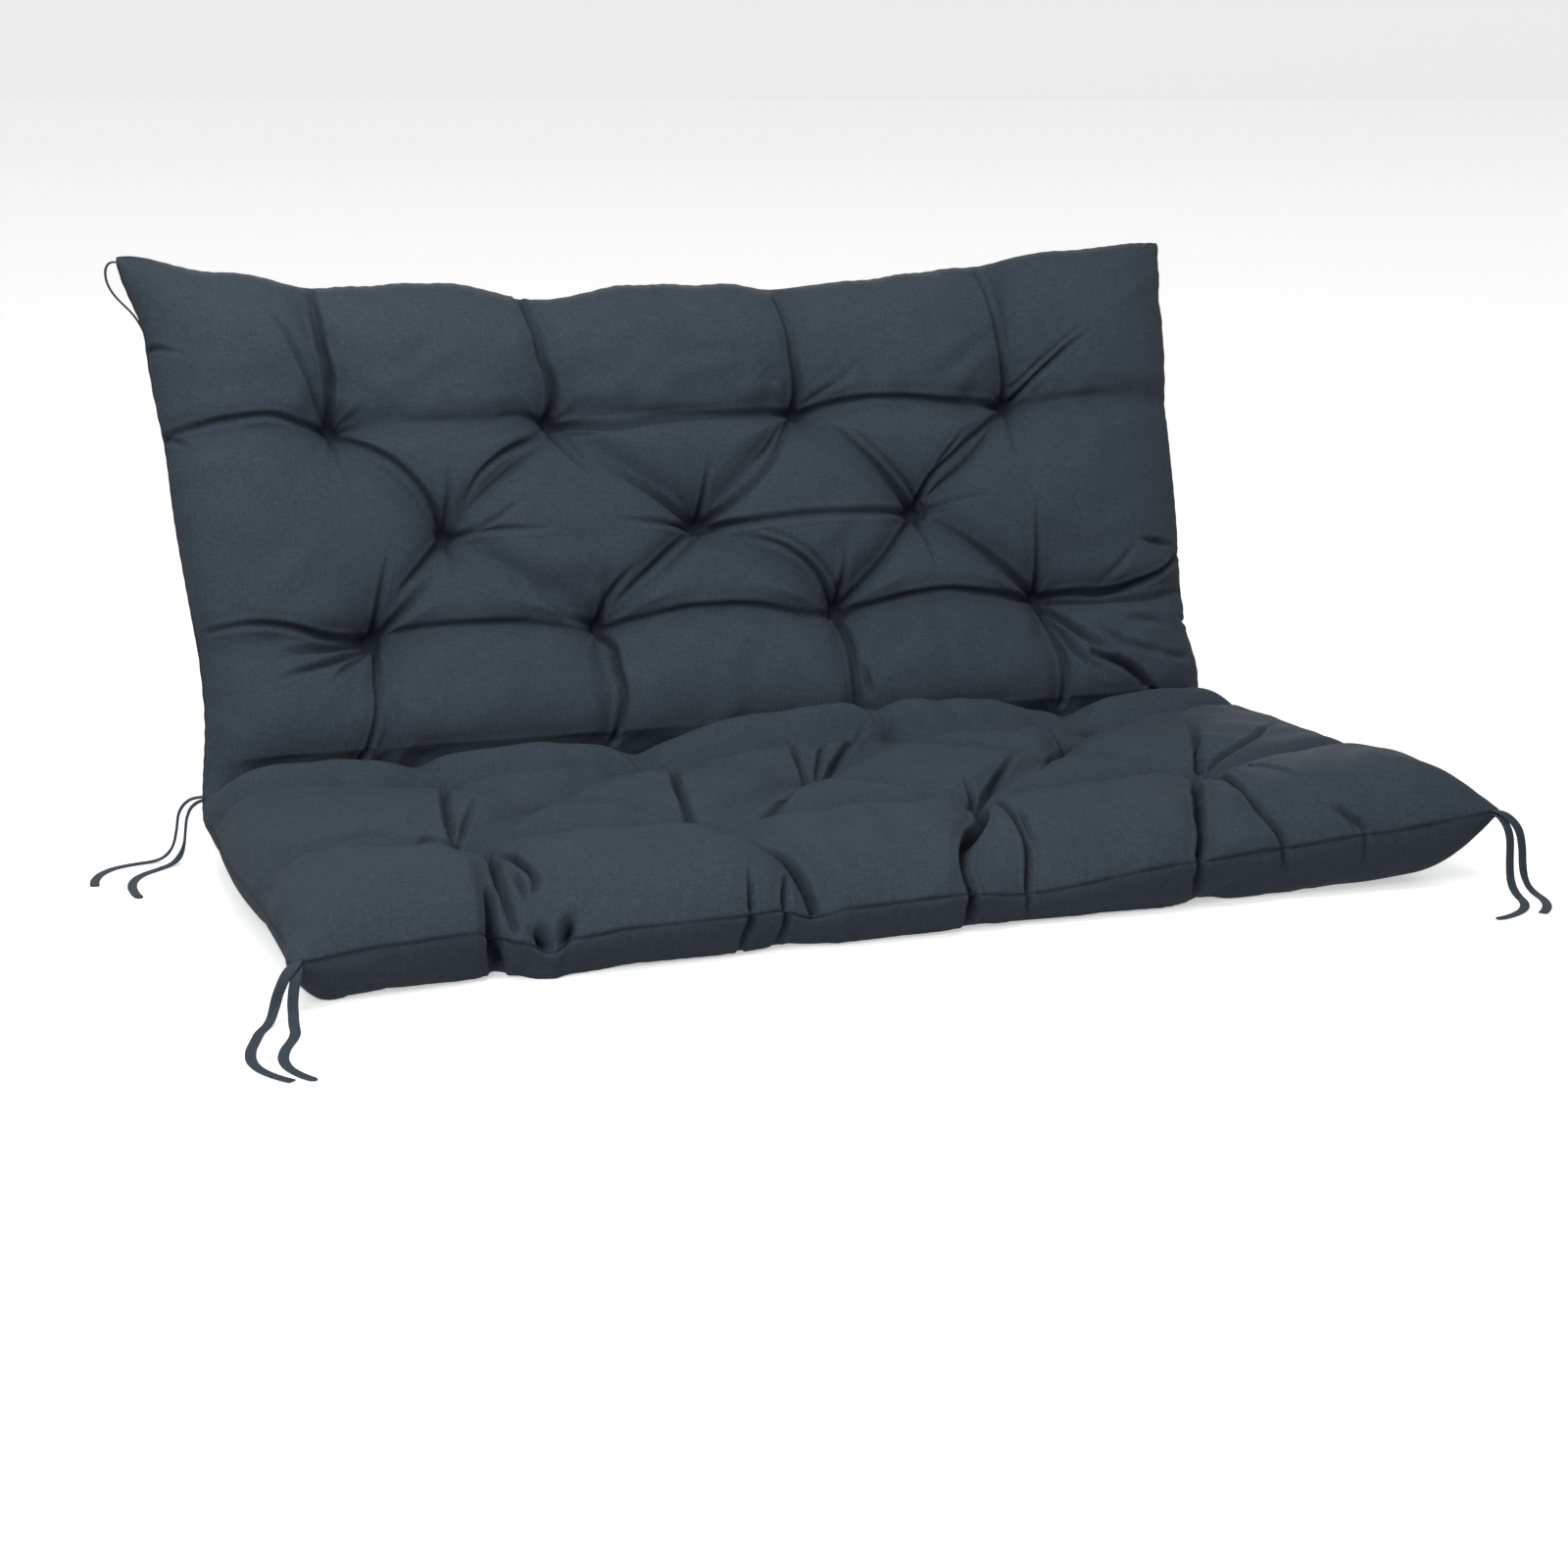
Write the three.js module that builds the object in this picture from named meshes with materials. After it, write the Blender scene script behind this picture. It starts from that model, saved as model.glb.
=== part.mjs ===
// A long padded cushion for a porch swing: two panels sewn together on one knife-edge seam all round,
// filled and tufted with thread. It is folded at its middle, so that half of it lies as the seat and
// half of it stands as the back. Flat tie bands are sewn into the seam, each with two free tails.
// Millimetres. X runs across the cushion, Y from the front of the seat to the back, Z up.
import * as THREE from "three";
import { mergeVertices } from "three/addons/utils/BufferGeometryUtils.js";

// Driving dimensions of the cushion
const width = 1200; // between the tips of its corners
const seatDepth = 538; // front seam to the corner where the middles of seat and back would meet
const backHeight = 570; // from that corner to the top seam
const backLean = THREE.MathUtils.degToRad(20.4); // the back leans this far from upright
const bendRadius = 60; // of the cushion's middle layer, at the fold
const frontSeamY = -380; // puts the middle of the whole depth at Y 0
const midHeight = 50; // of the seat's middle layer, above the surface that it lies on
// Half of the thickness between the tufts: of the face that is sat on, of the seat's under face before
// the surface flattens it, and of the back's rear face before its rest flattens it
const loft = { face: 52, seatUnder: 62, backRear: 52 };
const backRestGap = 43; // from the back's middle layer to the plane that its rear face rests on
// How far in from each seam the top panel and the under panel reach their full loft
const edgeRound = {
  top: { side: 78, front: 84, back: 92 },
  under: { side: 66, front: 48, back: 84 },
};
const edgeCurve = { bulge: 2.2, fullness: 0.62 }; // exponents of the bulge beside a seam
// How far inwards the rise of the left, right and front seam fades, and the draw of the front seam and
// of the top seam
const seamReach = { rise: [150, 440, 150], front: 220, top: 190 };
const foldPinch = { share: 0.78, reach: 30 }; // how far the inner face draws in along the fold
const foldSwell = { back: 12, reach: 46, away: 66 }; // the filling pushed up on both sides of it
const tuftReach = 34; // how widely each tuft draws a face in

// Shape of the sewn outline: how the side seams, the front seam and the top seam draw in.
// Side seams: distance along the cushion from the front seam, the reach to either side, and how high
// the seam lies above the middle layer there.
const sideSeams = [
  { run: 0, left: 600, right: 600, leftRise: -6, rightRise: 26 },
  { run: 70, left: 590, right: 591, leftRise: 0, rightRise: 22 },
  { run: 280, left: 588, right: 589, leftRise: 2, rightRise: 11 },
  { run: 450, left: 576, right: 582, leftRise: 4, rightRise: 10 },
  { run: 640, left: 552, right: 564, leftRise: 0, rightRise: 0 },
  { run: 860, left: 564, right: 574, leftRise: 0, rightRise: 0 },
  { run: 1010, left: 574, right: 586, leftRise: 0, rightRise: 0 },
  { run: 1100, left: 596, right: 597, leftRise: 0, rightRise: 0 },
];
// Front seam: how far it draws in, and how high it lies above or below the middle layer.
const frontSeam = [
  { across: -600, drawn: 0, rise: -6 },
  { across: -510, drawn: 12, rise: -2 },
  { across: -430, drawn: 16, rise: 0 },
  { across: -390, drawn: 24, rise: -14 },
  { across: -290, drawn: 14, rise: -9 },
  { across: -190, drawn: 16, rise: -9 },
  { across: -114, drawn: 26, rise: -20 },
  { across: 30, drawn: 15, rise: -9 },
  { across: 100, drawn: 26, rise: -18 },
  { across: 270, drawn: 15, rise: 0 },
  { across: 360, drawn: 20, rise: 4 },
  { across: 470, drawn: 13, rise: 12 },
  { across: 600, drawn: 0, rise: 26 },
];
// How much higher than the loft the seat swells just in front of the fold.
const seatSwell = [
  { across: -600, height: 6 },
  { across: -400, height: 16 },
  { across: -260, height: 16 },
  { across: -140, height: 10 },
  { across: 0, height: 30 },
  { across: 130, height: 40 },
  { across: 260, height: 28 },
  { across: 350, height: 6 },
  { across: 450, height: 14 },
  { across: 600, height: 10 },
];
// Top seam: how far it draws down.
const topSeam = [
  { across: -600, drawn: 0 },
  { across: -496, drawn: 20 },
  { across: -393, drawn: 38 },
  { across: -270, drawn: 35 },
  { across: -150, drawn: 56 },
  { across: -60, drawn: 42 },
  { across: 60, drawn: 43 },
  { across: 108, drawn: 50 },
  { across: 200, drawn: 43 },
  { across: 330, drawn: 31 },
  { across: 470, drawn: 12 },
  { across: 600, drawn: 4 },
];

// Thread tufts, row by row: on the seat from the front seam, on the back up from the fold's corner;
// pinch is the share of its loft that each one takes from a face
const seatTufts = [
  { away: 190, across: [-390, -150, 122, 372], pinch: [0.64, 0.64, 0.58, 0.46] },
  { away: 325, across: [-288, 4, 280], pinch: [0.5, 0.4, 0.28] },
  { away: 430, across: [-378, -134, 136, 382], pinch: [0.66, 0.66, 0.22, 0.56] },
];
const backTufts = [
  { up: 157, across: [-411, -154, 139, 399], pinch: [0.78, 0.78, 0.78, 0.78] },
  { up: 260, across: [-314, -17, 251], pinch: [0.78, 0.78, 0.78] },
  { up: 376, across: [-426, -180, 115, 382], pinch: [0.78, 0.78, 0.78, 0.78] },
];
// Channels that the tufts draw between them and out to the seams
const channels = {
  seat: { betweenRows: 16, alongRow: 18, toSeam: 12, halfWidth: 23 },
  back: { betweenRows: 13, alongRow: 13, toSeam: 11, halfWidth: 17 },
};

// Tie bands, of a flat section with an even number of sides
const band = { width: 10, thickness: 3, sides: 8, steps: 24 };
const bandTurn = Math.PI / band.sides; // puts the flats of the section level
const mergeDistance = 1e-4;

// Grid of the cushion's faces: lines close together beside the seams, cells between them, and how
// widely the grid is pulled onto a tuft
const grid = { besideSeams: [0, 5, 15, 30, 50, 74], cellsAcross: 40, cellsAlong: 36, pull: 26 };

// The middle layer along the cushion: straight seat, round bend, straight back
const bendAngle = Math.PI / 2 - backLean;
const bendTangent = bendRadius * Math.tan(bendAngle / 2);
const seatStraight = seatDepth - bendTangent;
const bendLength = bendRadius * bendAngle;
const cushionLength = seatStraight + bendLength + backHeight - bendTangent;
const foldRun = seatStraight + bendLength / 2;

function upToRun(up) {
  return seatStraight + bendLength + up - bendTangent;
}

function middleLayer(run) {
  const angle = THREE.MathUtils.clamp((run - seatStraight) / bendRadius, 0, bendAngle);
  const straight = Math.min(run, seatStraight);
  const beyond = Math.max(run - seatStraight - bendLength, 0);
  return {
    y: frontSeamY + straight + bendRadius * Math.sin(angle) + beyond * Math.cos(angle),
    z: midHeight + bendRadius * (1 - Math.cos(angle)) + beyond * Math.sin(angle),
    normalY: -Math.sin(angle),
    normalZ: Math.cos(angle),
  };
}

// Reads a column of a table, easing from each row to the next
function readTable(table, key, column, at) {
  let i = 0;
  while (i < table.length - 2 && at > table[i + 1][key]) i += 1;
  const [low, high] = [table[i], table[i + 1]];
  const share = THREE.MathUtils.smoothstep(at, low[key], high[key]);
  return THREE.MathUtils.lerp(low[column], high[column], share);
}

const tuftRows = [
  ...seatTufts.map((row) => row.across.map((x) => new THREE.Vector2(x, row.away))),
  ...backTufts.map((row) => row.across.map((x) => new THREE.Vector2(x, upToRun(row.up)))),
];
const tufts = tuftRows.flat();
const tuftPinches = [...seatTufts, ...backTufts].flatMap((row) => row.pinch);

// Straight channels as pairs of ends in the plane of the panel
function makeChannels() {
  const list = [];
  const lift = (point) => new THREE.Vector3(point.x, point.y, 0);
  const halves = [
    { rows: tuftRows.slice(0, 3), ends: [0, foldRun], ...channels.seat },
    { rows: tuftRows.slice(3), ends: [foldRun, cushionLength], ...channels.back },
  ];
  for (const { rows, ends, betweenRows, alongRow, toSeam, halfWidth } of halves) {
    const add = (from, to, depth) => {
      list.push({ line: new THREE.Line3(lift(from), lift(to)), depth, halfWidth });
    };
    [rows[0], rows[2]].forEach((outer, end) => {
      rows[1].forEach((tuft, i) => {
        add(outer[i], tuft, betweenRows);
        add(outer[i + 1], tuft, betweenRows);
      });
      outer.slice(1).forEach((tuft, i) => add(outer[i], tuft, alongRow));
      for (const tuft of outer) add(tuft, new THREE.Vector2(tuft.x, ends[end]), toSeam);
      add(outer[0], new THREE.Vector2(-width / 2, outer[0].y), alongRow);
      add(outer.at(-1), new THREE.Vector2(width / 2, outer[0].y), alongRow);
    });
  }
  return list;
}
const channelLines = makeChannels();

// A bulging edge: nothing at the seam, steep at first, and full loft from the round inwards
function edgeRise(distance, round) {
  const inward = 1 - Math.min(Math.max(distance, 0) / round, 1);
  return (1 - inward ** edgeCurve.bulge) ** edgeCurve.fullness;
}

// How much a place belongs to the back: 0 on the seat, 1 on the back, even between them
function onBack(run) {
  return THREE.MathUtils.smoothstep(run, foldRun - bendRadius, foldRun + bendRadius);
}

// Half thickness of the cushion at a place in the panel, on its top face or its under face
function halfThickness(x, run, edges, topFace) {
  const round = edgeRound[topFace ? "top" : "under"];
  const rounds = [round.side, round.side, round.front, round.back];
  const rise = edges.reduce((product, edge, i) => product * edgeRise(edge, rounds[i]), 1);
  const fromFold = Math.abs(run - foldRun);
  const underLoft = THREE.MathUtils.lerp(loft.seatUnder, loft.backRear, onBack(run));
  let height = topFace ? loft.face : underLoft;
  if (topFace) {
    const swell = run < foldRun ? readTable(seatSwell, "across", "height", x) : foldSwell.back;
    height += swell * Math.exp(-(((fromFold - foldSwell.away) / foldSwell.reach) ** 2));
    height *= 1 - foldPinch.share * Math.exp(-fromFold / foldPinch.reach);
  }
  const place = new THREE.Vector3(x, run, 0);
  const nearest = new THREE.Vector3();
  let sunk = 0;
  for (const channel of channelLines) {
    channel.line.closestPointToPoint(place, true, nearest);
    const away = nearest.distanceTo(place) / channel.halfWidth;
    sunk = Math.max(sunk, channel.depth * Math.exp(-(away ** 2)));
  }
  height -= sunk;
  tufts.forEach((tuft, i) => {
    const away = Math.hypot(x - tuft.x, run - tuft.y);
    height *= 1 - tuftPinches[i] * Math.exp(-away / tuftReach);
  });
  return height * rise;
}

// The pull of a seam, which fades inwards
function seamFade(distance, reach) {
  return 1 - THREE.MathUtils.smoothstep(distance, 0, reach);
}

// Places of the grid lines: close together beside the seams, even between them
function gridLines(length, cells) {
  const first = grid.besideSeams.at(-1);
  const lines = [...grid.besideSeams];
  for (let i = 1; i < cells; i += 1) lines.push(first + ((length - 2 * first) * i) / cells);
  return [...lines, ...grid.besideSeams.map((place) => length - place).reverse()];
}

// Pulls the grid's nearest point onto each tuft, and its neighbours part of the way
function snapToTufts(points) {
  for (const tuft of tufts) {
    const nearer = (best, point) => (point.distanceTo(tuft) < best.distanceTo(tuft) ? point : best);
    const centre = points.reduce(nearer).clone();
    const shift = tuft.clone().sub(centre);
    for (const point of points) {
      point.addScaledVector(shift, Math.exp(-((point.distanceTo(centre) / grid.pull) ** 2)));
    }
  }
}

function makeCushion() {
  const acrossLines = gridLines(width, grid.cellsAcross).map((across) => across - width / 2);
  const runLines = gridLines(cushionLength, grid.cellsAlong);
  const columns = acrossLines.length;
  const rows = runLines.length;
  const panel = runLines.flatMap((run) => acrossLines.map((x) => new THREE.Vector2(x, run)));
  snapToTufts(panel);

  const positions = [];
  const surfaces = { top: [], under: [] };
  for (const [name, topFace] of [["top", true], ["under", false]]) {
    panel.forEach((point, i) => {
      const column = i % columns;
      const row = Math.floor(i / columns);
      const onSeam = column === 0 || column === columns - 1 || row === 0 || row === rows - 1;
      if (onSeam && !topFace) {
        surfaces.under.push(surfaces.top[i]);
        return;
      }
      const left = readTable(sideSeams, "run", "left", point.y);
      const right = readTable(sideSeams, "run", "right", point.y);
      const x = THREE.MathUtils.lerp(-left, right, point.x / width + 0.5);
      const front = readTable(frontSeam, "across", "drawn", point.x);
      const top = readTable(topSeam, "across", "drawn", point.x);
      const edges = [x + left, right - x, point.y, cushionLength - point.y];
      const frontDraw = front * seamFade(edges[2], seamReach.front);
      const topDraw = top * seamFade(edges[3], seamReach.top);
      const run = point.y + frontDraw - topDraw;
      const middle = middleLayer(run);
      const leftRise = readTable(sideSeams, "run", "leftRise", point.y);
      const rightRise = readTable(sideSeams, "run", "rightRise", point.y);
      const [leftFade, rightFade, frontFade] = seamReach.rise.map((reach, k) => seamFade(edges[k], reach));
      const frontRise = readTable(frontSeam, "across", "rise", point.x);
      const sideRise = leftRise * leftFade + rightRise * rightFade;
      const rise = THREE.MathUtils.lerp(sideRise, frontRise, frontFade);
      const half = onSeam ? 0 : halfThickness(point.x, point.y, edges, topFace);
      const depth = Math.min(half, THREE.MathUtils.lerp(half, backRestGap, onBack(run)));
      const offset = rise + (topFace ? half : -depth);
      surfaces[name].push(positions.length / 3);
      positions.push(
        x,
        middle.y + middle.normalY * offset,
        Math.max(middle.z + middle.normalZ * offset, 0),
      );
    });
  }

  const index = [];
  for (let row = 0; row < rows - 1; row += 1) {
    for (let column = 0; column < columns - 1; column += 1) {
      const corner = row * columns + column;
      const quad = [corner, corner + 1, corner + columns + 1, corner + columns];
      const [a, b, c, d] = quad.map((i) => surfaces.top[i]);
      const [e, f, g, h] = quad.map((i) => surfaces.under[i]);
      index.push(a, b, c, a, c, d, e, g, f, e, h, g);
    }
  }
  const geometry = new THREE.BufferGeometry();
  geometry.setAttribute("position", new THREE.Float32BufferAttribute(positions, 3));
  geometry.setIndex(index);
  geometry.computeVertexNormals();
  return geometry;
}

// Routes of the tie tails, from the seam to the free end. Those at the front corners and at the fold
// fall to the surface below and lie on it, and the one at the top corner hangs behind the back.
const tieRoutes = {
  tie_front_left_a: [
    [-594.8, -380.4, 45.7], [-596.5, -385, 45.7], [-600, -389.5, 44.4], [-604.5, -393, 41.4],
    [-609, -396, 37], [-612.5, -398.3, 31.4], [-615.5, -399.5, 25.5], [-618, -400.7, 19],
    [-620.5, -402.5, 12.6], [-623.5, -406, 7.2], [-627.5, -410.5, 3.8], [-632, -415.5, 2.2],
    [-637, -424, 2.1], [-642, -436, 2.1], [-647, -449, 2.1], [-652, -462, 2.1], [-656, -476, 2.1],
    [-658.5, -490, 2.1], [-659, -504, 2.1], [-657, -518, 2.1], [-652.5, -531, 2.1],
    [-646.5, -543, 2.1], [-639, -554, 2.1],
  ],
  tie_front_left_b: [
    [-594.6, -380.4, 42.3], [-595.5, -385, 42.2], [-597, -390, 40.2], [-598.8, -394, 36.8],
    [-600.5, -396.7, 32], [-602, -398.5, 27], [-603, -400, 22], [-604, -402, 16],
    [-604.5, -405.5, 10], [-605.5, -410.5, 5.5], [-606.5, -416.5, 2.9], [-607.5, -423.5, 2.1],
    [-609.5, -434, 2.1], [-613.5, -446, 2.1], [-619, -458, 2.1], [-625, -470, 2.1], [-630, -483, 2.1],
    [-633.5, -496, 2.1], [-635, -509, 2.1], [-634.5, -522, 2.1], [-631.5, -535, 2.1],
    [-627, -547, 2.1], [-621, -558, 2.1],
  ],
  tie_front_right_a: [
    [594.8, -380.4, 77.7], [596, -385, 77.7], [599, -390, 76.4], [602.5, -394.5, 73.2],
    [606, -398, 68.8], [609, -400.5, 63.4], [611.3, -402, 57], [613, -402.5, 49], [614.2, -403, 41],
    [614.5, -403.5, 33], [615, -404.5, 25], [616, -406, 18], [617.3, -409, 11.9],
    [618.4, -413, 7.6], [619.4, -418, 5], [619.4, -424, 3.6], [618, -433, 3.2], [614.5, -443.5, 3.2],
    [609.5, -454, 3.2], [603, -464, 3.2], [595, -473, 3.2], [586, -481, 3.2],
  ],
  tie_front_right_b: [
    [594.6, -380.4, 74.3], [595.3, -385, 74.2], [596.5, -390, 72.2], [598, -394, 68.5],
    [599.2, -397, 64], [600.2, -399, 59], [601, -400, 53.5], [601.5, -400.5, 46],
    [601.5, -401, 38.5], [601.5, -401.5, 31], [601.5, -402.5, 23.5], [601.3, -404.5, 16.5],
    [601, -408, 10.8], [600.4, -413, 6.7], [599.6, -419, 4.2], [598, -426, 3], [594.5, -436.5, 2.9],
    [589.5, -446.5, 2.9], [583, -456, 2.9], [575, -464.5, 2.9], [565.5, -471.5, 2.9],
    [555, -477, 2.9], [544, -481, 2.9], [532.5, -483, 2.9],
  ],
  tie_fold_left_a: [
    [-568.5, 149.5, 64.7], [-573.5, 150, 64.5], [-579.5, 150.5, 63.2], [-584.5, 150.5, 60.2],
    [-588.5, 151, 55.8], [-591.5, 151, 50.4], [-593, 151.5, 44], [-594, 151.5, 36], [-595.5, 151.5, 28],
    [-597.5, 151.5, 20], [-601, 152, 13], [-606.5, 152, 7.4], [-613.5, 152.5, 4], [-621.5, 153.5, 2.3],
    [-633, 152.5, 1.8], [-646, 149, 1.7], [-658, 143, 1.7], [-668, 134, 1.7], [-676, 123, 1.7],
    [-682, 110, 1.7], [-686, 96, 1.7], [-688, 82, 1.7],
  ],
  tie_fold_left_b: [
    [-569, 148, 61.3], [-573, 146.5, 60.7], [-577.5, 144.5, 58.6], [-581.5, 143, 55.5],
    [-584, 141.5, 51], [-586, 141, 46], [-587, 140.5, 40], [-588, 140, 32], [-589, 139.5, 24.5],
    [-591, 138.5, 17], [-594.5, 137, 10.6], [-599.5, 134.5, 5.8], [-606, 132, 3], [-613.5, 128.5, 1.9],
    [-623, 121, 1.7], [-633, 113, 1.7], [-641.5, 103, 1.7], [-648, 91, 1.7], [-652.5, 78, 1.7],
    [-655, 65, 1.7], [-656, 51, 1.7], [-656, 37, 1.7], [-654.5, 24, 1.7],
  ],
  tie_top_left: [
    [-596.25, 356.9, 579.4], [-600.5, 357.5, 579.7], [-604.3, 358.4, 577.8], [-606.8, 359.4, 573.1],
    [-607.4, 359.6, 566.6], [-606, 360, 559], [-602.5, 360.8, 551.3], [-596.5, 362.6, 543.1],
    [-588.5, 364.9, 534.8], [-580.5, 367.1, 526.5], [-574.5, 367.6, 517.8], [-569.5, 366.5, 507.6],
    [-566, 363.2, 496], [-563.5, 358.8, 482.7], [-561.8, 353.6, 468.6], [-560.8, 348.3, 454.6],
    [-560.2, 343.1, 440.5], [-560, 337.9, 426.4], [-560, 333.4, 414.2],
  ],
};

// One flat tail: an eight-sided section carried along its route
function makeTail(route) {
  const section = new THREE.Shape();
  for (let i = 0; i < band.sides; i += 1) {
    const angle = bandTurn * (2 * i + 1);
    const corner = [
      (Math.cos(angle) / Math.cos(bandTurn)) * (band.thickness / 2),
      (Math.sin(angle) / Math.cos(bandTurn)) * (band.width / 2),
    ];
    if (i === 0) section.moveTo(...corner);
    else section.lineTo(...corner);
  }
  const path = new THREE.CatmullRomCurve3(route.map((point) => new THREE.Vector3(...point)));
  const geometry = new THREE.ExtrudeGeometry(section, { steps: band.steps, extrudePath: path });
  geometry.deleteAttribute("normal");
  geometry.deleteAttribute("uv");
  const merged = mergeVertices(geometry, mergeDistance);
  merged.computeVertexNormals();
  return merged;
}

const cloth = new THREE.MeshStandardMaterial({ color: 0x36414a, roughness: 0.85, metalness: 0 });
const tape = new THREE.MeshStandardMaterial({ color: 0x2c353c, roughness: 0.8, metalness: 0 });

const object = new THREE.Group();
const cushion = new THREE.Mesh(makeCushion(), cloth);
cushion.name = "cushion";
object.add(cushion);
for (const [name, route] of Object.entries(tieRoutes)) {
  const tail = new THREE.Mesh(makeTail(route), tape);
  tail.name = name;
  object.add(tail);
}

export default object;
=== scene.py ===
import math
import bpy
import numpy as np
from mathutils import Matrix, Vector


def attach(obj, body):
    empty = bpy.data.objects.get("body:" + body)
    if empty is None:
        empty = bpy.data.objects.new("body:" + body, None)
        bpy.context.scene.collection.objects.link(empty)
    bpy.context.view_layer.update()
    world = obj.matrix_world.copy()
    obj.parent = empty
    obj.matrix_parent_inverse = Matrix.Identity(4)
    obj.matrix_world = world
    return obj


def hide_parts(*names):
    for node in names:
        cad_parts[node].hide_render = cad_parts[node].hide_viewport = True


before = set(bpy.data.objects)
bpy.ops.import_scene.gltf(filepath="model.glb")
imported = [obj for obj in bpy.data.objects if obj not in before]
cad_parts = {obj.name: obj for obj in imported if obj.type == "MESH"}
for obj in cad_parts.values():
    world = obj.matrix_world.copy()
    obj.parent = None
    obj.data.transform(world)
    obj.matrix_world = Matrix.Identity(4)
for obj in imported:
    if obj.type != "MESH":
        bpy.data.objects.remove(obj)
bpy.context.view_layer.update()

# A long tufted cushion for a porch swing, folded once into a seat half and a leaning back half, with
# flat tie bands sewn into its seam. Metres, X across, Y from the front of the seat to the back, Z up.

scene = bpy.context.scene


# Helpers that several pieces share


def smoothstep(low, high, at):
    # 3 s^2 - 2 s^3 of the share s that at has covered between low and high
    share = np.clip((np.asarray(at, float) - low) / (high - low), 0, 1)
    return share * share * (3 - 2 * share)


def easedTable(places, values, at):
    # between two rows of a table: low value + smoothstep * (high value - low value)
    places, values = np.asarray(places, float), np.asarray(values, float)
    row = np.clip(np.searchsorted(places, at) - 1, 0, len(places) - 2)
    share = np.clip((at - places[row]) / (places[row + 1] - places[row]), 0, 1)
    share = share * share * (3 - 2 * share)
    return values[row] + (values[row + 1] - values[row]) * share


def unit(vectors):
    return vectors / np.maximum(np.linalg.norm(vectors, axis=-1, keepdims=True), 1e-12)


def meshFromArrays(name, points, faces, uv=None, uvFaces=None, fold=None):
    # faces has four corners a row; uv has one pair for each number in uvFaces, or else in faces; fold
    # is the painted shade at each point, from 0 to 1, deeper in creases, tuft pits and channels and on the
    # seams
    mesh = bpy.data.meshes.new(name)
    mesh.vertices.add(len(points))
    mesh.vertices.foreach_set("co", np.ascontiguousarray(points, np.float32).ravel())
    mesh.loops.add(faces.size)
    mesh.loops.foreach_set("vertex_index", faces.astype(np.int32).ravel())
    mesh.polygons.add(len(faces))
    mesh.polygons.foreach_set("loop_start", np.arange(0, faces.size, faces.shape[1], dtype=np.int32))
    mesh.polygons.foreach_set("use_smooth", np.ones(len(faces), bool))
    if uv is not None:
        layer = mesh.uv_layers.new(name="weave")
        corners = (faces if uvFaces is None else uvFaces).ravel()
        layer.data.foreach_set("uv", uv[corners].astype(np.float32).ravel())
    mesh.update(calc_edges=True)
    mesh.validate()
    if fold is not None:
        mesh.attributes.new("fold", "FLOAT", "POINT").data.foreach_set("value", fold.astype(np.float32))
    piece = bpy.data.objects.new(name, mesh)
    scene.collection.objects.link(piece)
    return piece


def gridFaces(rows, columns, first=0, turned=False):
    # the quads of a rows x columns grid of points, numbered row by row from first
    corner = (np.arange(rows - 1)[:, None] * columns + np.arange(columns - 1)[None, :]).ravel() + first
    quads = np.stack([corner, corner + 1, corner + columns + 1, corner + columns], axis=1)
    return quads[:, ::-1] if turned else quads


# Camera


cameraView = {
    "place": (-1.139, -2.8392, 0.7968),
    "turn": 21.82,  # degrees to the right of +Y
    "down": 13.43,
    "roll": 0.52,
    "lens": 70.7,
    "sensor": 36.0,
}


def makeCamera(view):
    turn, down, roll = (math.radians(view[key]) for key in ("turn", "down", "roll"))
    ahead = Vector((math.sin(turn) * math.cos(down), math.cos(turn) * math.cos(down), -math.sin(down)))
    level = Vector((math.cos(turn), -math.sin(turn), 0))
    above = level.cross(ahead)
    right = level * math.cos(roll) + above * math.sin(roll)
    up = above * math.cos(roll) - level * math.sin(roll)
    data = bpy.data.cameras.new("camera")
    data.lens = view["lens"]
    data.sensor_width = view["sensor"]
    camera = bpy.data.objects.new("camera", data)
    scene.collection.objects.link(camera)
    camera.matrix_world = Matrix((
        (right.x, up.x, -ahead.x, view["place"][0]),
        (right.y, up.y, -ahead.y, view["place"][1]),
        (right.z, up.z, -ahead.z, view["place"][2]),
        (0, 0, 0, 1),
    ))
    scene.camera = camera


makeCamera(cameraView)
print("camera placed")


# Finishes


slateCloth = {
    "shade": (0.018, 0.025, 0.033),
    "tone": (0.034, 0.0455, 0.0575),
    "bloom": (0.0485, 0.0625, 0.077),
    # crease and its share: the colour of the painted shade and how far the fold attribute mixes towards it
    "crease": (0.006, 0.009, 0.013),
    "paintedShadeShare": 0.85,
    "grain": 2.4,
    "threadPitch": 0.0009,
    "roughness": 0.88,
    "sheen": 0.02,
    "sheenRoughness": 0.5,
    "sheenTint": (0.75, 0.84, 0.92),
    "specular": 0.08,
    "slubs": (900, 60),  # how fine across a thread, and along it
    "patches": 9.0,
    "fineGrain": 330.0,
    "relief": 0.0006,
    "reliefShare": 0.35,
}


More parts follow.
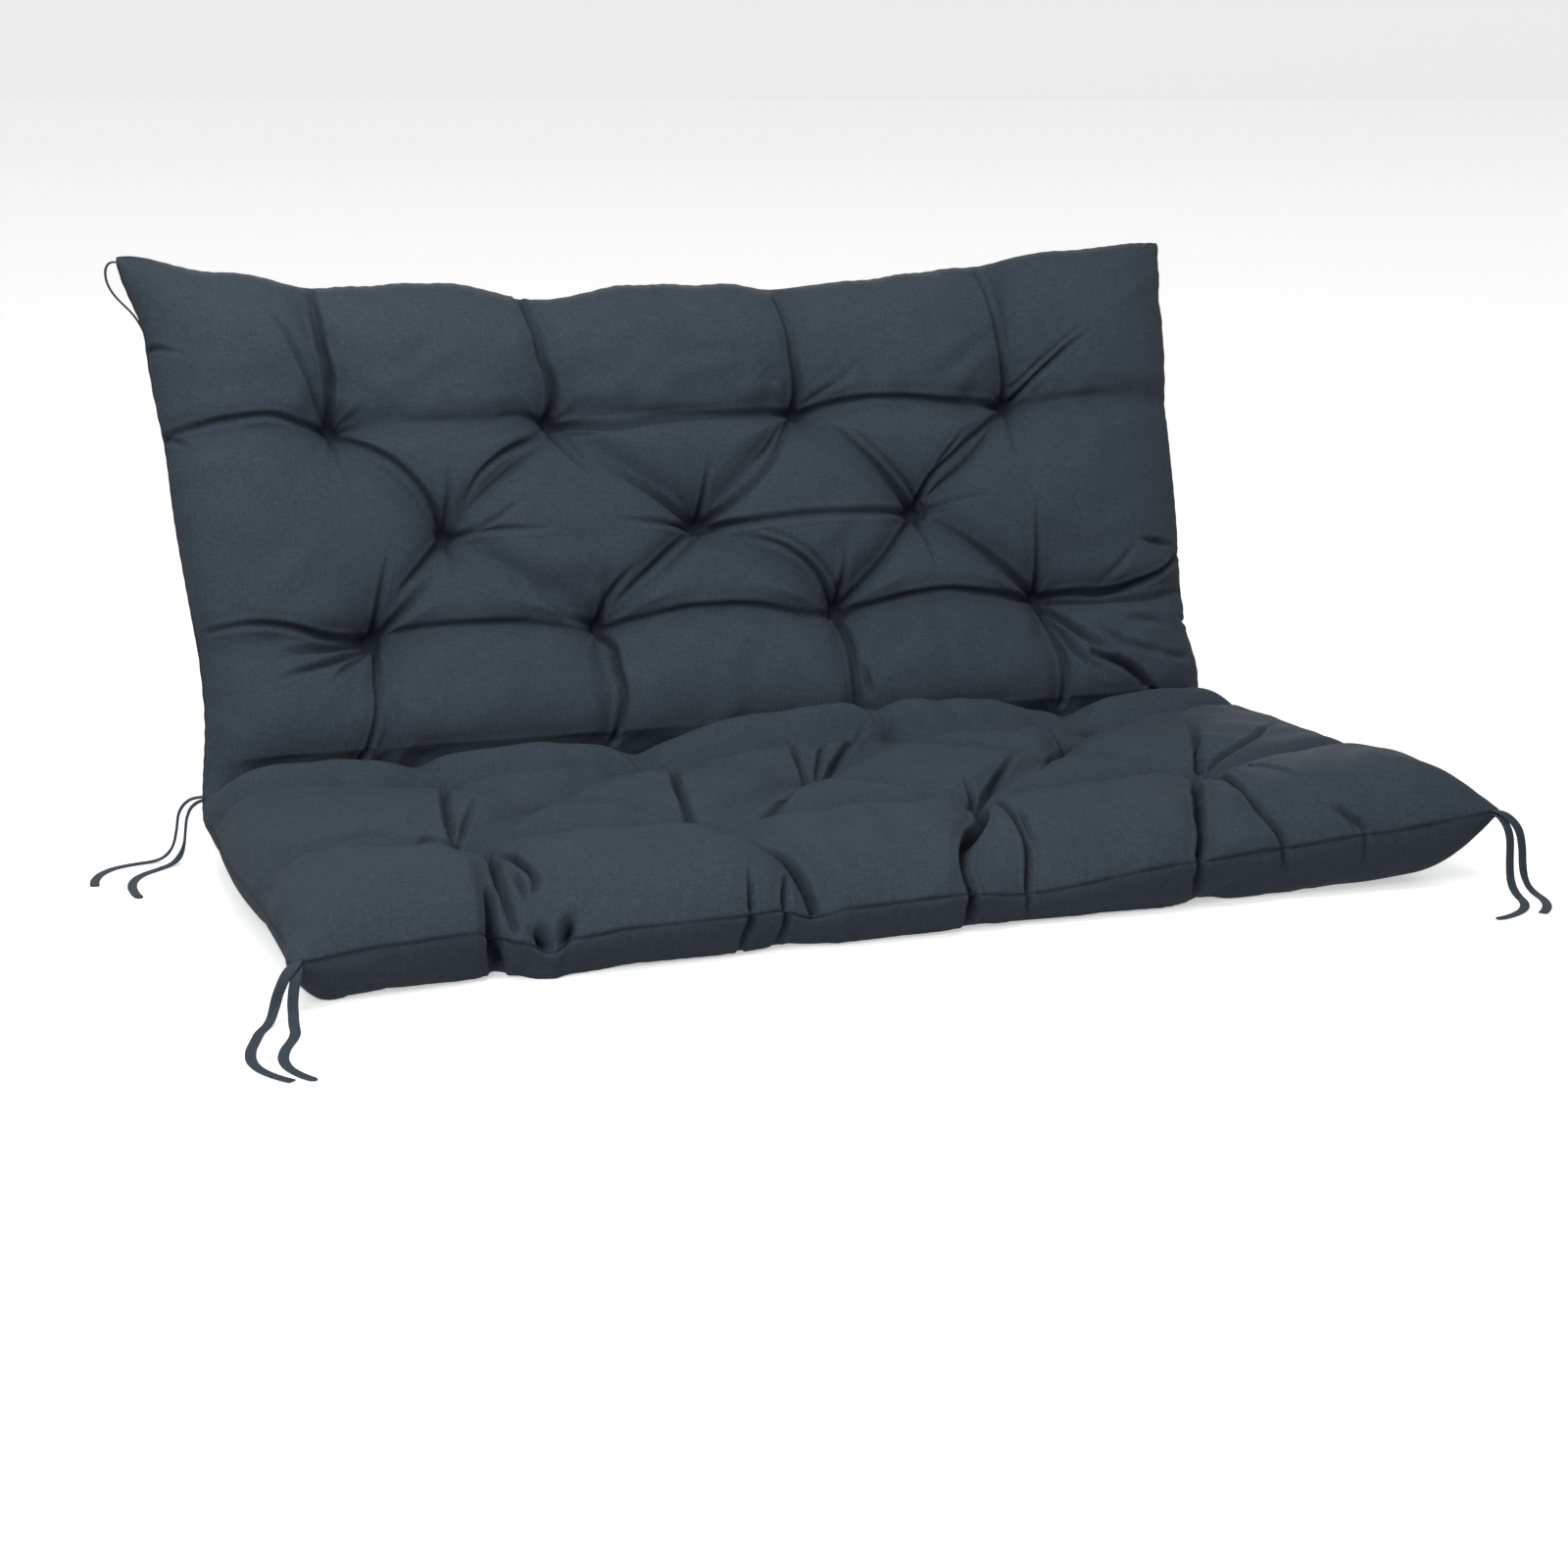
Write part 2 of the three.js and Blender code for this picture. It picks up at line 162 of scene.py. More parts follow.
class NodeBoard:
    # lays nodes in a material's tree and joins them
    def __init__(self, name):
        self.material = bpy.data.materials.new(name)
        self.material.use_nodes = True
        self.tree = self.material.node_tree
        self.tree.nodes.clear()

    def add(self, kind, inputs=(), **settings):
        node = self.tree.nodes.new(kind)
        for key, value in settings.items():
            setattr(node, key, value)
        for key, value in dict(inputs).items():
            if isinstance(value, bpy.types.NodeSocket):
                self.tree.links.new(value, node.inputs[key])
            else:
                node.inputs[key].default_value = value
        return node

    def math(self, operation, *values):
        node = self.add("ShaderNodeMath", operation=operation)
        for i, value in enumerate(values):
            if isinstance(value, bpy.types.NodeSocket):
                self.tree.links.new(value, node.inputs[i])
            else:
                node.inputs[i].default_value = value
        return node.outputs[0]

    def mix(self, share, first, second):
        # a colour between the two
        node = self.add("ShaderNodeMix", {0: share, 6: first, 7: second}, data_type="RGBA", clamp_factor=True)
        return node.outputs[2]


def clothMaterial(name, cloth):
    # plain weave: the product of two sines of the cloth's own coordinates, with slubs from noises
    # stretched along warp and weft, a faint worn bloom in patches, and painted shade from the fold attribute
    board = NodeBoard(name)
    weave = board.add("ShaderNodeUVMap", uv_map="weave").outputs["UV"]
    place = board.add("ShaderNodeTexCoord").outputs["Object"]
    split = board.add("ShaderNodeSeparateXYZ", {"Vector": weave})
    turns = math.pi / cloth["threadPitch"]
    warp = board.math("SINE", board.math("MULTIPLY", split.outputs["X"], turns))
    weft = board.math("SINE", board.math("MULTIPLY", split.outputs["Y"], turns))
    threads = board.math("ABSOLUTE", board.math("MULTIPLY", warp, weft))

    slubs = []
    for scale in ((*cloth["slubs"], 1), (*cloth["slubs"][::-1], 1)):
        stretched = board.add("ShaderNodeMapping", {"Vector": weave, "Scale": scale}).outputs["Vector"]
        slub = board.add("ShaderNodeTexNoise", {"Vector": stretched, "Scale": 1.0, "Detail": 2.0})
        slubs.append(slub.outputs["Fac"])
    slubbed = board.math("ADD", *slubs)
    patches, grain = (
        board.add("ShaderNodeTexNoise", {
            "Vector": place, "Scale": cloth[kind], "Detail": detail, "Roughness": roughness,
        })
        for kind, detail, roughness in (("patches", 4.0, 0.6), ("fineGrain", 3.0, 0.65))
    )

    mottled = board.math("MULTIPLY", board.math("SUBTRACT", grain.outputs["Fac"], 0.5), cloth["grain"])
    mottled = board.math("ADD", patches.outputs["Fac"], mottled)
    base = board.mix(mottled, (*cloth["tone"], 1), (*cloth["bloom"], 1))
    darker = board.math("MULTIPLY", board.math("SUBTRACT", slubbed, 0.72), 0.9)
    woven = board.mix(darker, base, (*cloth["shade"], 1))
    # painted shade: the fold attribute darkens the cloth towards the crease colour in creases, tuft pits,
    # channels and seams
    fold = board.add("ShaderNodeAttribute", attribute_name="fold").outputs["Fac"]
    woven = board.mix(board.math("MULTIPLY", fold, cloth["paintedShadeShare"]), woven, (*cloth["crease"], 1))

    relief = board.math("ADD", board.math("MULTIPLY", threads, 0.5), board.math("MULTIPLY", slubbed, 0.6))
    relief = board.math("ADD", relief, board.math("MULTIPLY", grain.outputs["Fac"], 0.8))
    bump = board.add("ShaderNodeBump", {
        "Height": relief, "Strength": cloth["reliefShare"], "Distance": cloth["relief"],
    })
    surface = board.add("ShaderNodeBsdfPrincipled", {
        "Base Color": woven, "Normal": bump.outputs["Normal"],
        "Roughness": cloth["roughness"], "Specular IOR Level": cloth["specular"],
        "Sheen Weight": cloth["sheen"], "Sheen Roughness": cloth["sheenRoughness"],
        "Sheen Tint": (*cloth["sheenTint"], 1),
    })
    board.add("ShaderNodeOutputMaterial", {"Surface": surface.outputs["BSDF"]})
    return board.material


clothFinish = clothMaterial("slate_cloth", slateCloth)
tieFinish = clothMaterial("tie_cloth", {**slateCloth, "tone": (0.040, 0.054, 0.068), "threadPitch": 0.0007})
print("finishes ready")


# Tie bands: narrow folded strips of the cushion's cloth, each tail a flat band along its own route


tieBand = {
    "width": 0.0095,
    "thickness": 0.0019,
    "cadWidth": 0.010,
    "ringStep": 0.003,
    "sectionPoints": 7,  # across each side
    "tuckedIn": 0.006,  # of each tail lies inside the seam
    "roundedEnd": 0.005,
    "lyingBelow": 0.03,  # under this height a tail turns flat and comes down onto the floor
    "offFloor": 0.0001,
}

# Each tail's way from the seam to its free end, in millimetres
tieRoutes = {
    "tie_front_left_a": [
        (-594.8, -380.4, 45.7), (-596.5, -385, 45.7), (-600, -389.5, 44.4), (-604.5, -393, 41.4),
        (-609, -396, 37), (-612.5, -398.3, 31.4), (-615.5, -399.5, 25.5), (-618, -400.7, 19),
        (-620.5, -402.5, 12.6), (-623.5, -406, 7.2), (-627.5, -410.5, 3.8), (-632, -415.5, 2.2),
        (-637, -424, 2.1), (-642, -436, 2.1), (-647, -449, 2.1), (-652, -462, 2.1), (-656, -476, 2.1),
        (-658.5, -490, 2.1), (-659, -504, 2.1), (-657, -518, 2.1), (-652.5, -531, 2.1),
        (-646.5, -543, 2.1), (-639, -554, 2.1),
    ],
    "tie_front_left_b": [
        (-594.6, -380.4, 42.3), (-595.5, -385, 42.2), (-597, -390, 40.2), (-598.8, -394, 36.8),
        (-600.5, -396.7, 32), (-602, -398.5, 27), (-603, -400, 22), (-604, -402, 16),
        (-604.5, -405.5, 10), (-605.5, -410.5, 5.5), (-606.5, -416.5, 2.9), (-607.5, -423.5, 2.1),
        (-609.5, -434, 2.1), (-613.5, -446, 2.1), (-619, -458, 2.1), (-625, -470, 2.1),
        (-630, -483, 2.1), (-633.5, -496, 2.1), (-635, -509, 2.1), (-634.5, -522, 2.1),
        (-631.5, -535, 2.1), (-627, -547, 2.1), (-621, -558, 2.1),
    ],
    "tie_front_right_a": [
        (594.8, -380.4, 77.7), (596, -385, 77.7), (599, -390, 76.4), (602.5, -394.5, 73.2),
        (606, -398, 68.8), (609, -400.5, 63.4), (611.3, -402, 57), (613, -402.5, 49), (614.2, -403, 41),
        (614.5, -403.5, 33), (615, -404.5, 25), (616, -406, 18), (617.3, -409, 11.9),
        (618.4, -413, 7.6), (619.4, -418, 5), (619.4, -424, 3.6), (618, -433, 3.2),
        (614.5, -443.5, 3.2), (609.5, -454, 3.2), (603, -464, 3.2), (595, -473, 3.2), (586, -481, 3.2),
    ],
    "tie_front_right_b": [
        (594.6, -380.4, 74.3), (595.3, -385, 74.2), (596.5, -390, 72.2), (598, -394, 68.5),
        (599.2, -397, 64), (600.2, -399, 59), (601, -400, 53.5), (601.5, -400.5, 46),
        (601.5, -401, 38.5), (601.5, -401.5, 31), (601.5, -402.5, 23.5), (601.3, -404.5, 16.5),
        (601, -408, 10.8), (600.4, -413, 6.7), (599.6, -419, 4.2), (598, -426, 3), (594.5, -436.5, 2.9),
        (589.5, -446.5, 2.9), (583, -456, 2.9), (575, -464.5, 2.9), (565.5, -471.5, 2.9),
        (555, -477, 2.9), (544, -481, 2.9), (532.5, -483, 2.9),
    ],
    "tie_fold_left_a": [
        (-568.5, 149.5, 64.7), (-573.5, 150, 64.5), (-579.5, 150.5, 63.2), (-584.5, 150.5, 60.2),
        (-588.5, 151, 55.8), (-591.5, 151, 50.4), (-593, 151.5, 44), (-594, 151.5, 36),
        (-595.5, 151.5, 28), (-597.5, 151.5, 20), (-601, 152, 13), (-606.5, 152, 7.4),
        (-613.5, 152.5, 4), (-621.5, 153.5, 2.3), (-633, 152.5, 1.8), (-646, 149, 1.7),
        (-658, 143, 1.7), (-668, 134, 1.7), (-676, 123, 1.7), (-682, 110, 1.7), (-686, 96, 1.7),
        (-688, 82, 1.7),
    ],
    "tie_fold_left_b": [
        (-569, 148, 61.3), (-573, 146.5, 60.7), (-577.5, 144.5, 58.6), (-581.5, 143, 55.5),
        (-584, 141.5, 51), (-586, 141, 46), (-587, 140.5, 40), (-588, 140, 32), (-589, 139.5, 24.5),
        (-591, 138.5, 17), (-594.5, 137, 10.6), (-599.5, 134.5, 5.8), (-606, 132, 3),
        (-613.5, 128.5, 1.9), (-623, 121, 1.7), (-633, 113, 1.7), (-641.5, 103, 1.7), (-648, 91, 1.7),
        (-652.5, 78, 1.7), (-655, 65, 1.7), (-656, 51, 1.7), (-656, 37, 1.7), (-654.5, 24, 1.7),
    ],
    "tie_top_left": [
        (-596.25, 356.9, 579.4), (-600.5, 357.5, 579.7), (-604.3, 358.4, 577.8), (-606.8, 359.4, 573.1),
        (-607.4, 359.6, 566.6), (-606, 360, 559), (-602.5, 360.8, 551.3), (-596.5, 362.6, 543.1),
        (-588.5, 364.9, 534.8), (-580.5, 367.1, 526.5), (-574.5, 367.6, 517.8), (-569.5, 366.5, 507.6),
        (-566, 363.2, 496), (-563.5, 358.8, 482.7), (-561.8, 353.6, 468.6), (-560.8, 348.3, 454.6),
        (-560.2, 343.1, 440.5), (-560, 337.9, 426.4), (-560, 333.4, 414.2),
    ],
}

# Which way a tail's width points where it leaves the seam, how it lies, and whether its end is rounded
tieManner = {
    "tie_front_left_a": {"across": (1, 0, 0), "lay": "loose", "rounded": False},
    "tie_front_left_b": {"across": (1, 0, 0), "lay": "loose", "rounded": True},
    "tie_front_right_a": {"across": (1, 0, 0), "lay": "loose", "rounded": False},
    "tie_front_right_b": {"across": (1, 0, 0), "lay": "loose", "rounded": True},
    "tie_fold_left_a": {"across": (0, -1, 0), "lay": "loose", "rounded": False},
    "tie_fold_left_b": {"across": (0, -1, 0), "lay": "loose", "rounded": True},
    "tie_top_left": {"across": (0, -1, 0), "lay": "hanging", "rounded": False},
}


def smoothRoute(points, step):
    # centripetal Catmull-Rom: each stretch is a cubic whose tangents look to both neighbours, with
    # knots apart by the root of the distance; then the points are spread evenly along it
    points = np.asarray(points, float)
    ends = np.vstack([2 * points[0] - points[1], points, 2 * points[-1] - points[-2]])
    gaps = np.sqrt(np.linalg.norm(np.diff(ends, axis=0), axis=1))[:, None]
    before, here, ahead, after = ends[:-3], ends[1:-2], ends[2:-1], ends[3:]
    first, middle, last = gaps[:-2], gaps[1:-1], gaps[2:]
    straight = (ahead - here) / middle
    leaving = ((here - before) / first - (ahead - before) / (first + middle) + straight) * middle
    arriving = (straight - (after - here) / (middle + last) + (after - ahead) / last) * middle
    share = np.linspace(0, 1, 16, endpoint=False)[None, :, None]
    here, ahead, leaving, arriving = (part[:, None, :] for part in (here, ahead, leaving, arriving))
    line = (
        here * (2 * share**3 - 3 * share**2 + 1)
        + leaving * (share**3 - 2 * share**2 + share)
        + ahead * (3 * share**2 - 2 * share**3)
        + arriving * (share**3 - share**2)
    ).reshape(-1, 3)
    line = np.vstack([line, points[-1:]])
    along = np.concatenate([[0], np.cumsum(np.linalg.norm(np.diff(line, axis=0), axis=1))])
    even = np.linspace(0, along[-1], int(round(along[-1] / step)) + 1)
    return np.stack([np.interp(even, along, line[:, axis]) for axis in range(3)], axis=1), along[-1]


def makeTail(node, route, manner, band):
    # ring centre + across * width / 2 * t + normal * half thickness * (0.3 + 0.7 * root(1 - |t|^5)), with
    # t from -1 to 1 on the upper side and back on the lower one, where the thickness counts downwards
    metres = np.round(np.array(route) / 1000, 6)
    centres, length = smoothRoute(metres, band["ringStep"])
    lying = smoothstep(band["lyingBelow"], band["lyingBelow"] / 4, centres[:, 2])[:, None]
    centres[:, 2:] -= lying * (centres[:, 2].min() - band["thickness"] / 2 - band["offFloor"])
    tangent = unit(np.gradient(centres, axis=0))
    flat = np.cross((0, 0, 1), tangent)
    wanted = (1 - lying) * np.array(manner["across"], float) + lying * flat
    across = unit(wanted - (wanted * tangent).sum(1, keepdims=True) * tangent)
    normal = np.cross(tangent, across)

    inside = centres[0] - tangent[0] * band["tuckedIn"]
    centres = np.vstack([inside, centres])
    tangent, across, normal = (np.vstack([part[:1], part]) for part in (tangent, across, normal))

    fromEnd = np.linalg.norm(np.diff(centres, axis=0), axis=1)[::-1].cumsum()[::-1]
    fromEnd = np.append(fromEnd, 0)
    narrowing = np.ones(len(centres))
    if manner["rounded"]:
        reach = np.clip(1 - fromEnd / band["roundedEnd"], 0, 0.96)
        narrowing = np.sqrt(1 - reach**2)

    t = np.linspace(-1, 1, band["sectionPoints"])
    thick = band["thickness"] / 2 * (0.3 + 0.7 * np.sqrt(1 - np.abs(t) ** 5))
    section = np.concatenate([np.stack([t, thick], 1), np.stack([t, -thick], 1)[::-1]])
    sideways = section[None, :, 0, None] * across[:, None, :] * (band["width"] / 2 * narrowing)[:, None, None]
    outwards = section[None, :, 1, None] * normal[:, None, :]
    points = centres[:, None, :] + sideways + outwards
    rings, around = points.shape[:2]

    faces = gridFaces(rings, around + 1, turned=True)
    row, place = np.divmod(faces, around + 1)
    faces = row * around + place % around
    half = band["sectionPoints"]
    i = np.arange(half - 1)
    cap = np.stack([i, i + 1, 2 * half - 2 - i, 2 * half - 1 - i], axis=1)
    faces = np.concatenate([faces, cap, cap[:, ::-1] + (rings - 1) * around])

    alongRing = np.concatenate([[0], np.cumsum(np.linalg.norm(np.diff(centres, axis=0), axis=1))])
    uv = np.stack(np.broadcast_arrays(section[None, :, 0] * band["width"] / 2, alongRing[:, None]), axis=2)
    tail = meshFromArrays(node.replace("tie", "band"), points.reshape(-1, 3), faces, uv.reshape(-1, 2))
    finish = tail.modifiers.new("soften", "SUBSURF")
    finish.levels = finish.render_levels = 1
    tail.data.materials.append(tieFinish)
    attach(tail, "root")
    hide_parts(node)
    return tail


tails = [makeTail(node, route, tieManner[node], tieBand) for node, route in tieRoutes.items()]
print(f"{len(tails)} tie tails made")


# Cushion: a top panel and an under panel, each a function of the place across (x) and along (run)


cushionForm = {
    "width": 1.2,
    "seatDepth": 0.538,  # front seam to the corner where the middles of seat and back would meet
    "backHeight": 0.570,
    "backLean": 20.4,  # degrees from upright
    "bendRadius": 0.060,
    "frontSeamY": -0.380,
    "midHeight": 0.050,
    "faceLoft": 0.052,
    "seatUnderLoft": 0.062,
    "backRearLoft": 0.052,
    "backRestGap": 0.043,  # from the back's middle layer to the plane that its rear face rests on
    "foldPinch": 0.78,
    "foldPinchReach": 0.030,
    "foldSwell": 0.012,
    "foldSwellAway": 0.066,
    "foldSwellReach": 0.046,
    "tuftReach": 0.034,
    "riseReach": (0.150, 0.440, 0.150),  # how far in the left, right and front seams lift the cushion
    "frontDrawReach": 0.220,
    "topDrawReach": 0.190,
}
# Left, right, front and top edge: how far in a face reaches its full loft, and how full its rise is
edgeRounds = {"top": (0.078, 0.078, 0.088, 0.092), "under": (0.066, 0.066, 0.048, 0.084)}
edgeFullness = {"top": (0.62, 0.62, 0.76, 0.62), "under": (0.62, 0.62, 0.62, 0.62)}

# How far the side seams reach, and how high they lie above the middle layer, along the cushion
sideSeam = {
    "run": (0, 0.070, 0.280, 0.450, 0.640, 0.860, 1.010, 1.100),
    "left": (0.600, 0.590, 0.588, 0.576, 0.552, 0.564, 0.574, 0.596),
    "right": (0.600, 0.591, 0.589, 0.582, 0.564, 0.574, 0.586, 0.597),
    "leftRise": (-0.006, 0, 0.002, 0.004, 0, 0, 0, 0),
    "rightRise": (0.026, 0.022, 0.011, 0.010, 0, 0, 0, 0),
}
# How far the front seam draws in, and how high it lies
frontSeam = {
    "across": (-0.600, -0.510, -0.432, -0.414, -0.392, -0.364, -0.342, -0.290, -0.190, -0.150, -0.114, -0.080)
    + (0.030, 0.100, 0.270, 0.360, 0.470, 0.600),
    "drawn": (0, 0.012, 0.016, 0.027, 0.018, 0.014, 0.014, 0.014, 0.016, 0.022, 0.026, 0.018)
    + (0.015, 0.026, 0.015, 0.020, 0.013, 0),
    "rise": (-0.006, -0.002, 0, -0.009, -0.014, -0.024, -0.013, -0.009, -0.009, -0.009, -0.020, -0.012)
    + (-0.009, -0.018, 0, 0.004, 0.012, 0.026),
}
# How much higher than the loft the seat swells just in front of the fold
seatSwell = {
    "across": (-0.600, -0.400, -0.260, -0.140, 0, 0.130, 0.260, 0.350, 0.450, 0.600),
    "height": (0.006, 0.016, 0.016, 0.010, 0.030, 0.040, 0.028, 0.006, 0.014, 0.010),
}
# How far the top seam draws down
topSeam = {
    "across": (-0.600, -0.496, -0.393, -0.270, -0.150, -0.060, 0.060, 0.108, 0.200, 0.330, 0.470, 0.600),
    "drawn": (0, 0.020, 0.038, 0.035, 0.056, 0.042, 0.043, 0.050, 0.043, 0.031, 0.012, 0.004),
}
# Tufts: each row's distance from the front seam, or up from the fold's corner, its places across, and
# the share of the loft that each thread takes away
seatTufts = [
    {"away": 0.190, "across": (-0.390, -0.150, 0.122, 0.372), "pinch": (0.64, 0.64, 0.58, 0.46)},
    {"away": 0.325, "across": (-0.288, 0.004, 0.280), "pinch": (0.50, 0.40, 0.28)},
    {"away": 0.430, "across": (-0.378, -0.134, 0.136, 0.382), "pinch": (0.66, 0.66, 0.22, 0.56)},
]
backTufts = [
    {"up": 0.157, "across": (-0.411, -0.154, 0.139, 0.399), "pinch": (0.78, 0.78, 0.78, 0.78)},
    {"up": 0.260, "across": (-0.314, -0.017, 0.251), "pinch": (0.78, 0.78, 0.78)},
    {"up": 0.376, "across": (-0.426, -0.180, 0.115, 0.382), "pinch": (0.78, 0.78, 0.78, 0.78)},
]
seatChannels = {"betweenRows": 0.016, "alongRow": 0.018, "toSeam": 0.012, "width": 0.023}
backChannels = {"betweenRows": 0.013, "alongRow": 0.013, "toSeam": 0.011, "width": 0.017}
frontChannelEnds = (-0.400, -0.125, 0.050, 0.288)

form = cushionForm
bendAngle = math.radians(90 - form["backLean"])
bendTangent = form["bendRadius"] * math.tan(bendAngle / 2)
seatStraight = form["seatDepth"] - bendTangent
bendLength = form["bendRadius"] * bendAngle
panelLength = seatStraight + bendLength + form["backHeight"] - bendTangent
foldRun = seatStraight + bendLength / 2


def upToRun(up):
    return seatStraight + bendLength + up - bendTangent


tuftRows = [[(x, row["away"]) for x in row["across"]] for row in seatTufts]
tuftRows += [[(x, upToRun(row["up"])) for x in row["across"]] for row in backTufts]
tuftPlaces = np.array([place for row in tuftRows for place in row])
tuftPinch = [pinch for row in seatTufts + backTufts for pinch in row["pinch"]]


def channelList():
    # straight stretches between the tufts of neighbouring rows, along the rows and out to the seams:
    # start, end, depth and width
    found = []
    for channels, rows, ends in (
        (seatChannels, tuftRows[:3], (0, foldRun)),
        (backChannels, tuftRows[3:], (foldRun, panelLength)),
    ):
        stretches = []
        for outer, end in zip((rows[0], rows[2]), ends):
            for i, tuft in enumerate(rows[1]):
                stretches += [(outer[i + side], tuft, "betweenRows") for side in (0, 1)]
            leaving = frontChannelEnds if end == 0 else [tuft[0] for tuft in outer]
            stretches += [(a, b, "alongRow") for a, b in zip(outer, outer[1:])]
            stretches += [(tuft, (x, end), "toSeam") for tuft, x in zip(outer, leaving)]
            for tuft, side in ((outer[0], -1), (outer[-1], 1)):
                stretches.append((tuft, (side * form["width"] / 2, tuft[1]), "alongRow"))
        found += [(start, end, channels[kind], channels["width"]) for start, end, kind in stretches]
    return found


def middleLayer(run):
    # straight seat, a bend of one radius, straight back: the place (y, z) and its normal (y, z)
    angle = np.clip((run - seatStraight) / form["bendRadius"], 0, bendAngle)
    beyond = np.maximum(run - seatStraight - bendLength, 0)
    y = form["frontSeamY"] + np.minimum(run, seatStraight) + form["bendRadius"] * np.sin(angle)
    z = form["midHeight"] + form["bendRadius"] * (1 - np.cos(angle))
    return y + beyond * np.cos(angle), z + beyond * np.sin(angle), -np.sin(angle), np.cos(angle)


def distanceToStretch(x, run, start, end):
    # distance to the straight stretch from start to end, and the share of the way along it
    start, end = np.array(start, float), np.array(end, float)
    span = end - start
    share = np.clip(((x - start[0]) * span[0] + (run - start[1]) * span[1]) / (span @ span), 0, 1)
    return np.hypot(x - start[0] - share * span[0], run - start[1] - share * span[1]), share


def channelDepth(x, run):
    # of the deepest channel there: depth * e^(-(distance / width)^2)
    sunk = np.zeros(x.shape)
    for start, end, depth, width in channelList():
        away = distanceToStretch(x, run, start, end)[0] / width
        sunk = np.maximum(sunk, depth * np.exp(-(away**2)))
    return sunk


def onBack(run):
    return smoothstep(foldRun - form["bendRadius"], foldRun + form["bendRadius"], run)


def halfThickness(x, run, edges, side):
    # (loft, swollen beside the fold, less the deepest channel) * (1 - pinch * e^(-distance / reach)) of
    # each tuft * a bulging rise (1 - inward^2.2)^fullness from each of the four seams
    underLoft = form["seatUnderLoft"] + (form["backRearLoft"] - form["seatUnderLoft"]) * onBack(run)
    height = np.full(x.shape, form["faceLoft"]) if side == "top" else underLoft
    if side == "top":
        fromFold = np.abs(run - foldRun)
        onSeat = easedTable(seatSwell["across"], seatSwell["height"], x)
        swell = np.where(run < foldRun, onSeat, form["foldSwell"])
        away = (fromFold - form["foldSwellAway"]) / form["foldSwellReach"]
        height = height + swell * np.exp(-(away**2))
        height = height * (1 - form["foldPinch"] * np.exp(-fromFold / form["foldPinchReach"]))
    height = height - channelDepth(x, run)
    for tuft, pinch in zip(tuftPlaces, tuftPinch):
        away = np.hypot(x - tuft[0], run - tuft[1])
        height = height * (1 - pinch * np.exp(-away / form["tuftReach"]))
    for edge, rounded, fullness in zip(edges, edgeRounds[side], edgeFullness[side]):
        inward = 1 - np.clip(edge / rounded, 0, 1)
        height = height * (1 - inward**2.2) ** fullness
    return height


def panelSurface(across, run, side):
    # middle layer at the drawn run + its normal * (seam rise + or - half thickness)
    left = easedTable(sideSeam["run"], sideSeam["left"], run)
    right = easedTable(sideSeam["run"], sideSeam["right"], run)
    x = -left + (left + right) * (across / form["width"] + 0.5)
    edges = [x + left, right - x, run, panelLength - run]
    fade = [1 - smoothstep(0, reach, edge) for reach, edge in zip(form["riseReach"], edges)]
    frontDraw = easedTable(frontSeam["across"], frontSeam["drawn"], across)
    topDraw = easedTable(topSeam["across"], topSeam["drawn"], across)
    drawnRun = run + frontDraw * (1 - smoothstep(0, form["frontDrawReach"], edges[2]))
    drawnRun = drawnRun - topDraw * (1 - smoothstep(0, form["topDrawReach"], edges[3]))
    y, z, normalY, normalZ = middleLayer(drawnRun)
    sideRise = easedTable(sideSeam["run"], sideSeam["leftRise"], run) * fade[0]
    sideRise = sideRise + easedTable(sideSeam["run"], sideSeam["rightRise"], run) * fade[1]
    rise = sideRise + (easedTable(frontSeam["across"], frontSeam["rise"], across) - sideRise) * fade[2]
    half = halfThickness(across, run, edges, side)
    offset = rise + half if side == "top" else rise - half
    return np.stack([x, y + normalY * offset, z + normalZ * offset], axis=-1)


def pressedFlat(points, run):
    # the seat's under face stops at the surface, z = 0, and the back's rear face at a plane behind it
    points = points.copy()
    y, z, normalY, normalZ = middleLayer(np.array([foldRun + form["bendRadius"]]))
    behind = -((points[..., 1] - y) * normalY + (points[..., 2] - z) * normalZ)
    over = np.maximum(behind - form["backRestGap"], 0) * onBack(run)
    points[..., 1] += normalY * over
    points[..., 2] = np.maximum(points[..., 2] + normalZ * over, 0)
    return points


# The cloth: each panel starts in its shape, its springs rest at the lengths of a flat cut with a little
# to spare, its seams, its tufts and the fold are held, and the filling presses it outwards


clothFit = {
    "cell": 0.009,
    "besideSeam": (0, 0.0025, 0.006, 0.0115),
    "pullReach": 0.020,  # how widely the grid is pulled onto a tuft
    "spare": 1.02,
    "spareShare": 60,  # percentile of the shaped lengths that the cut is made to
    "heldFold": 0.54,  # how far across the fold is held
    "pressure": 4.0,
    "frames": 20,
    "quality": 5,
    "tension": 15,
    "compression": 15,
    "shear": 5,
    "bending": 0.05,
    "vertexMass": 0.3,
    "mostMove": 0.022,
    "keepForm": 0.8,  # share of the slow drift from the form that is taken back
    "driftReach": 0.045,
    "finer": 5,  # cells of a finished panel in one cell of the cloth
}


def gridLines(length, fit):
    # close together beside both ends, even between them
    first = fit["besideSeam"][-1]
    cells = int(round((length - 2 * first) / fit["cell"]))
    inside = np.linspace(first, length - first, cells + 1)
    beside = np.array(fit["besideSeam"][:-1])
    return np.concatenate([beside, inside, (length - beside)[::-1]])


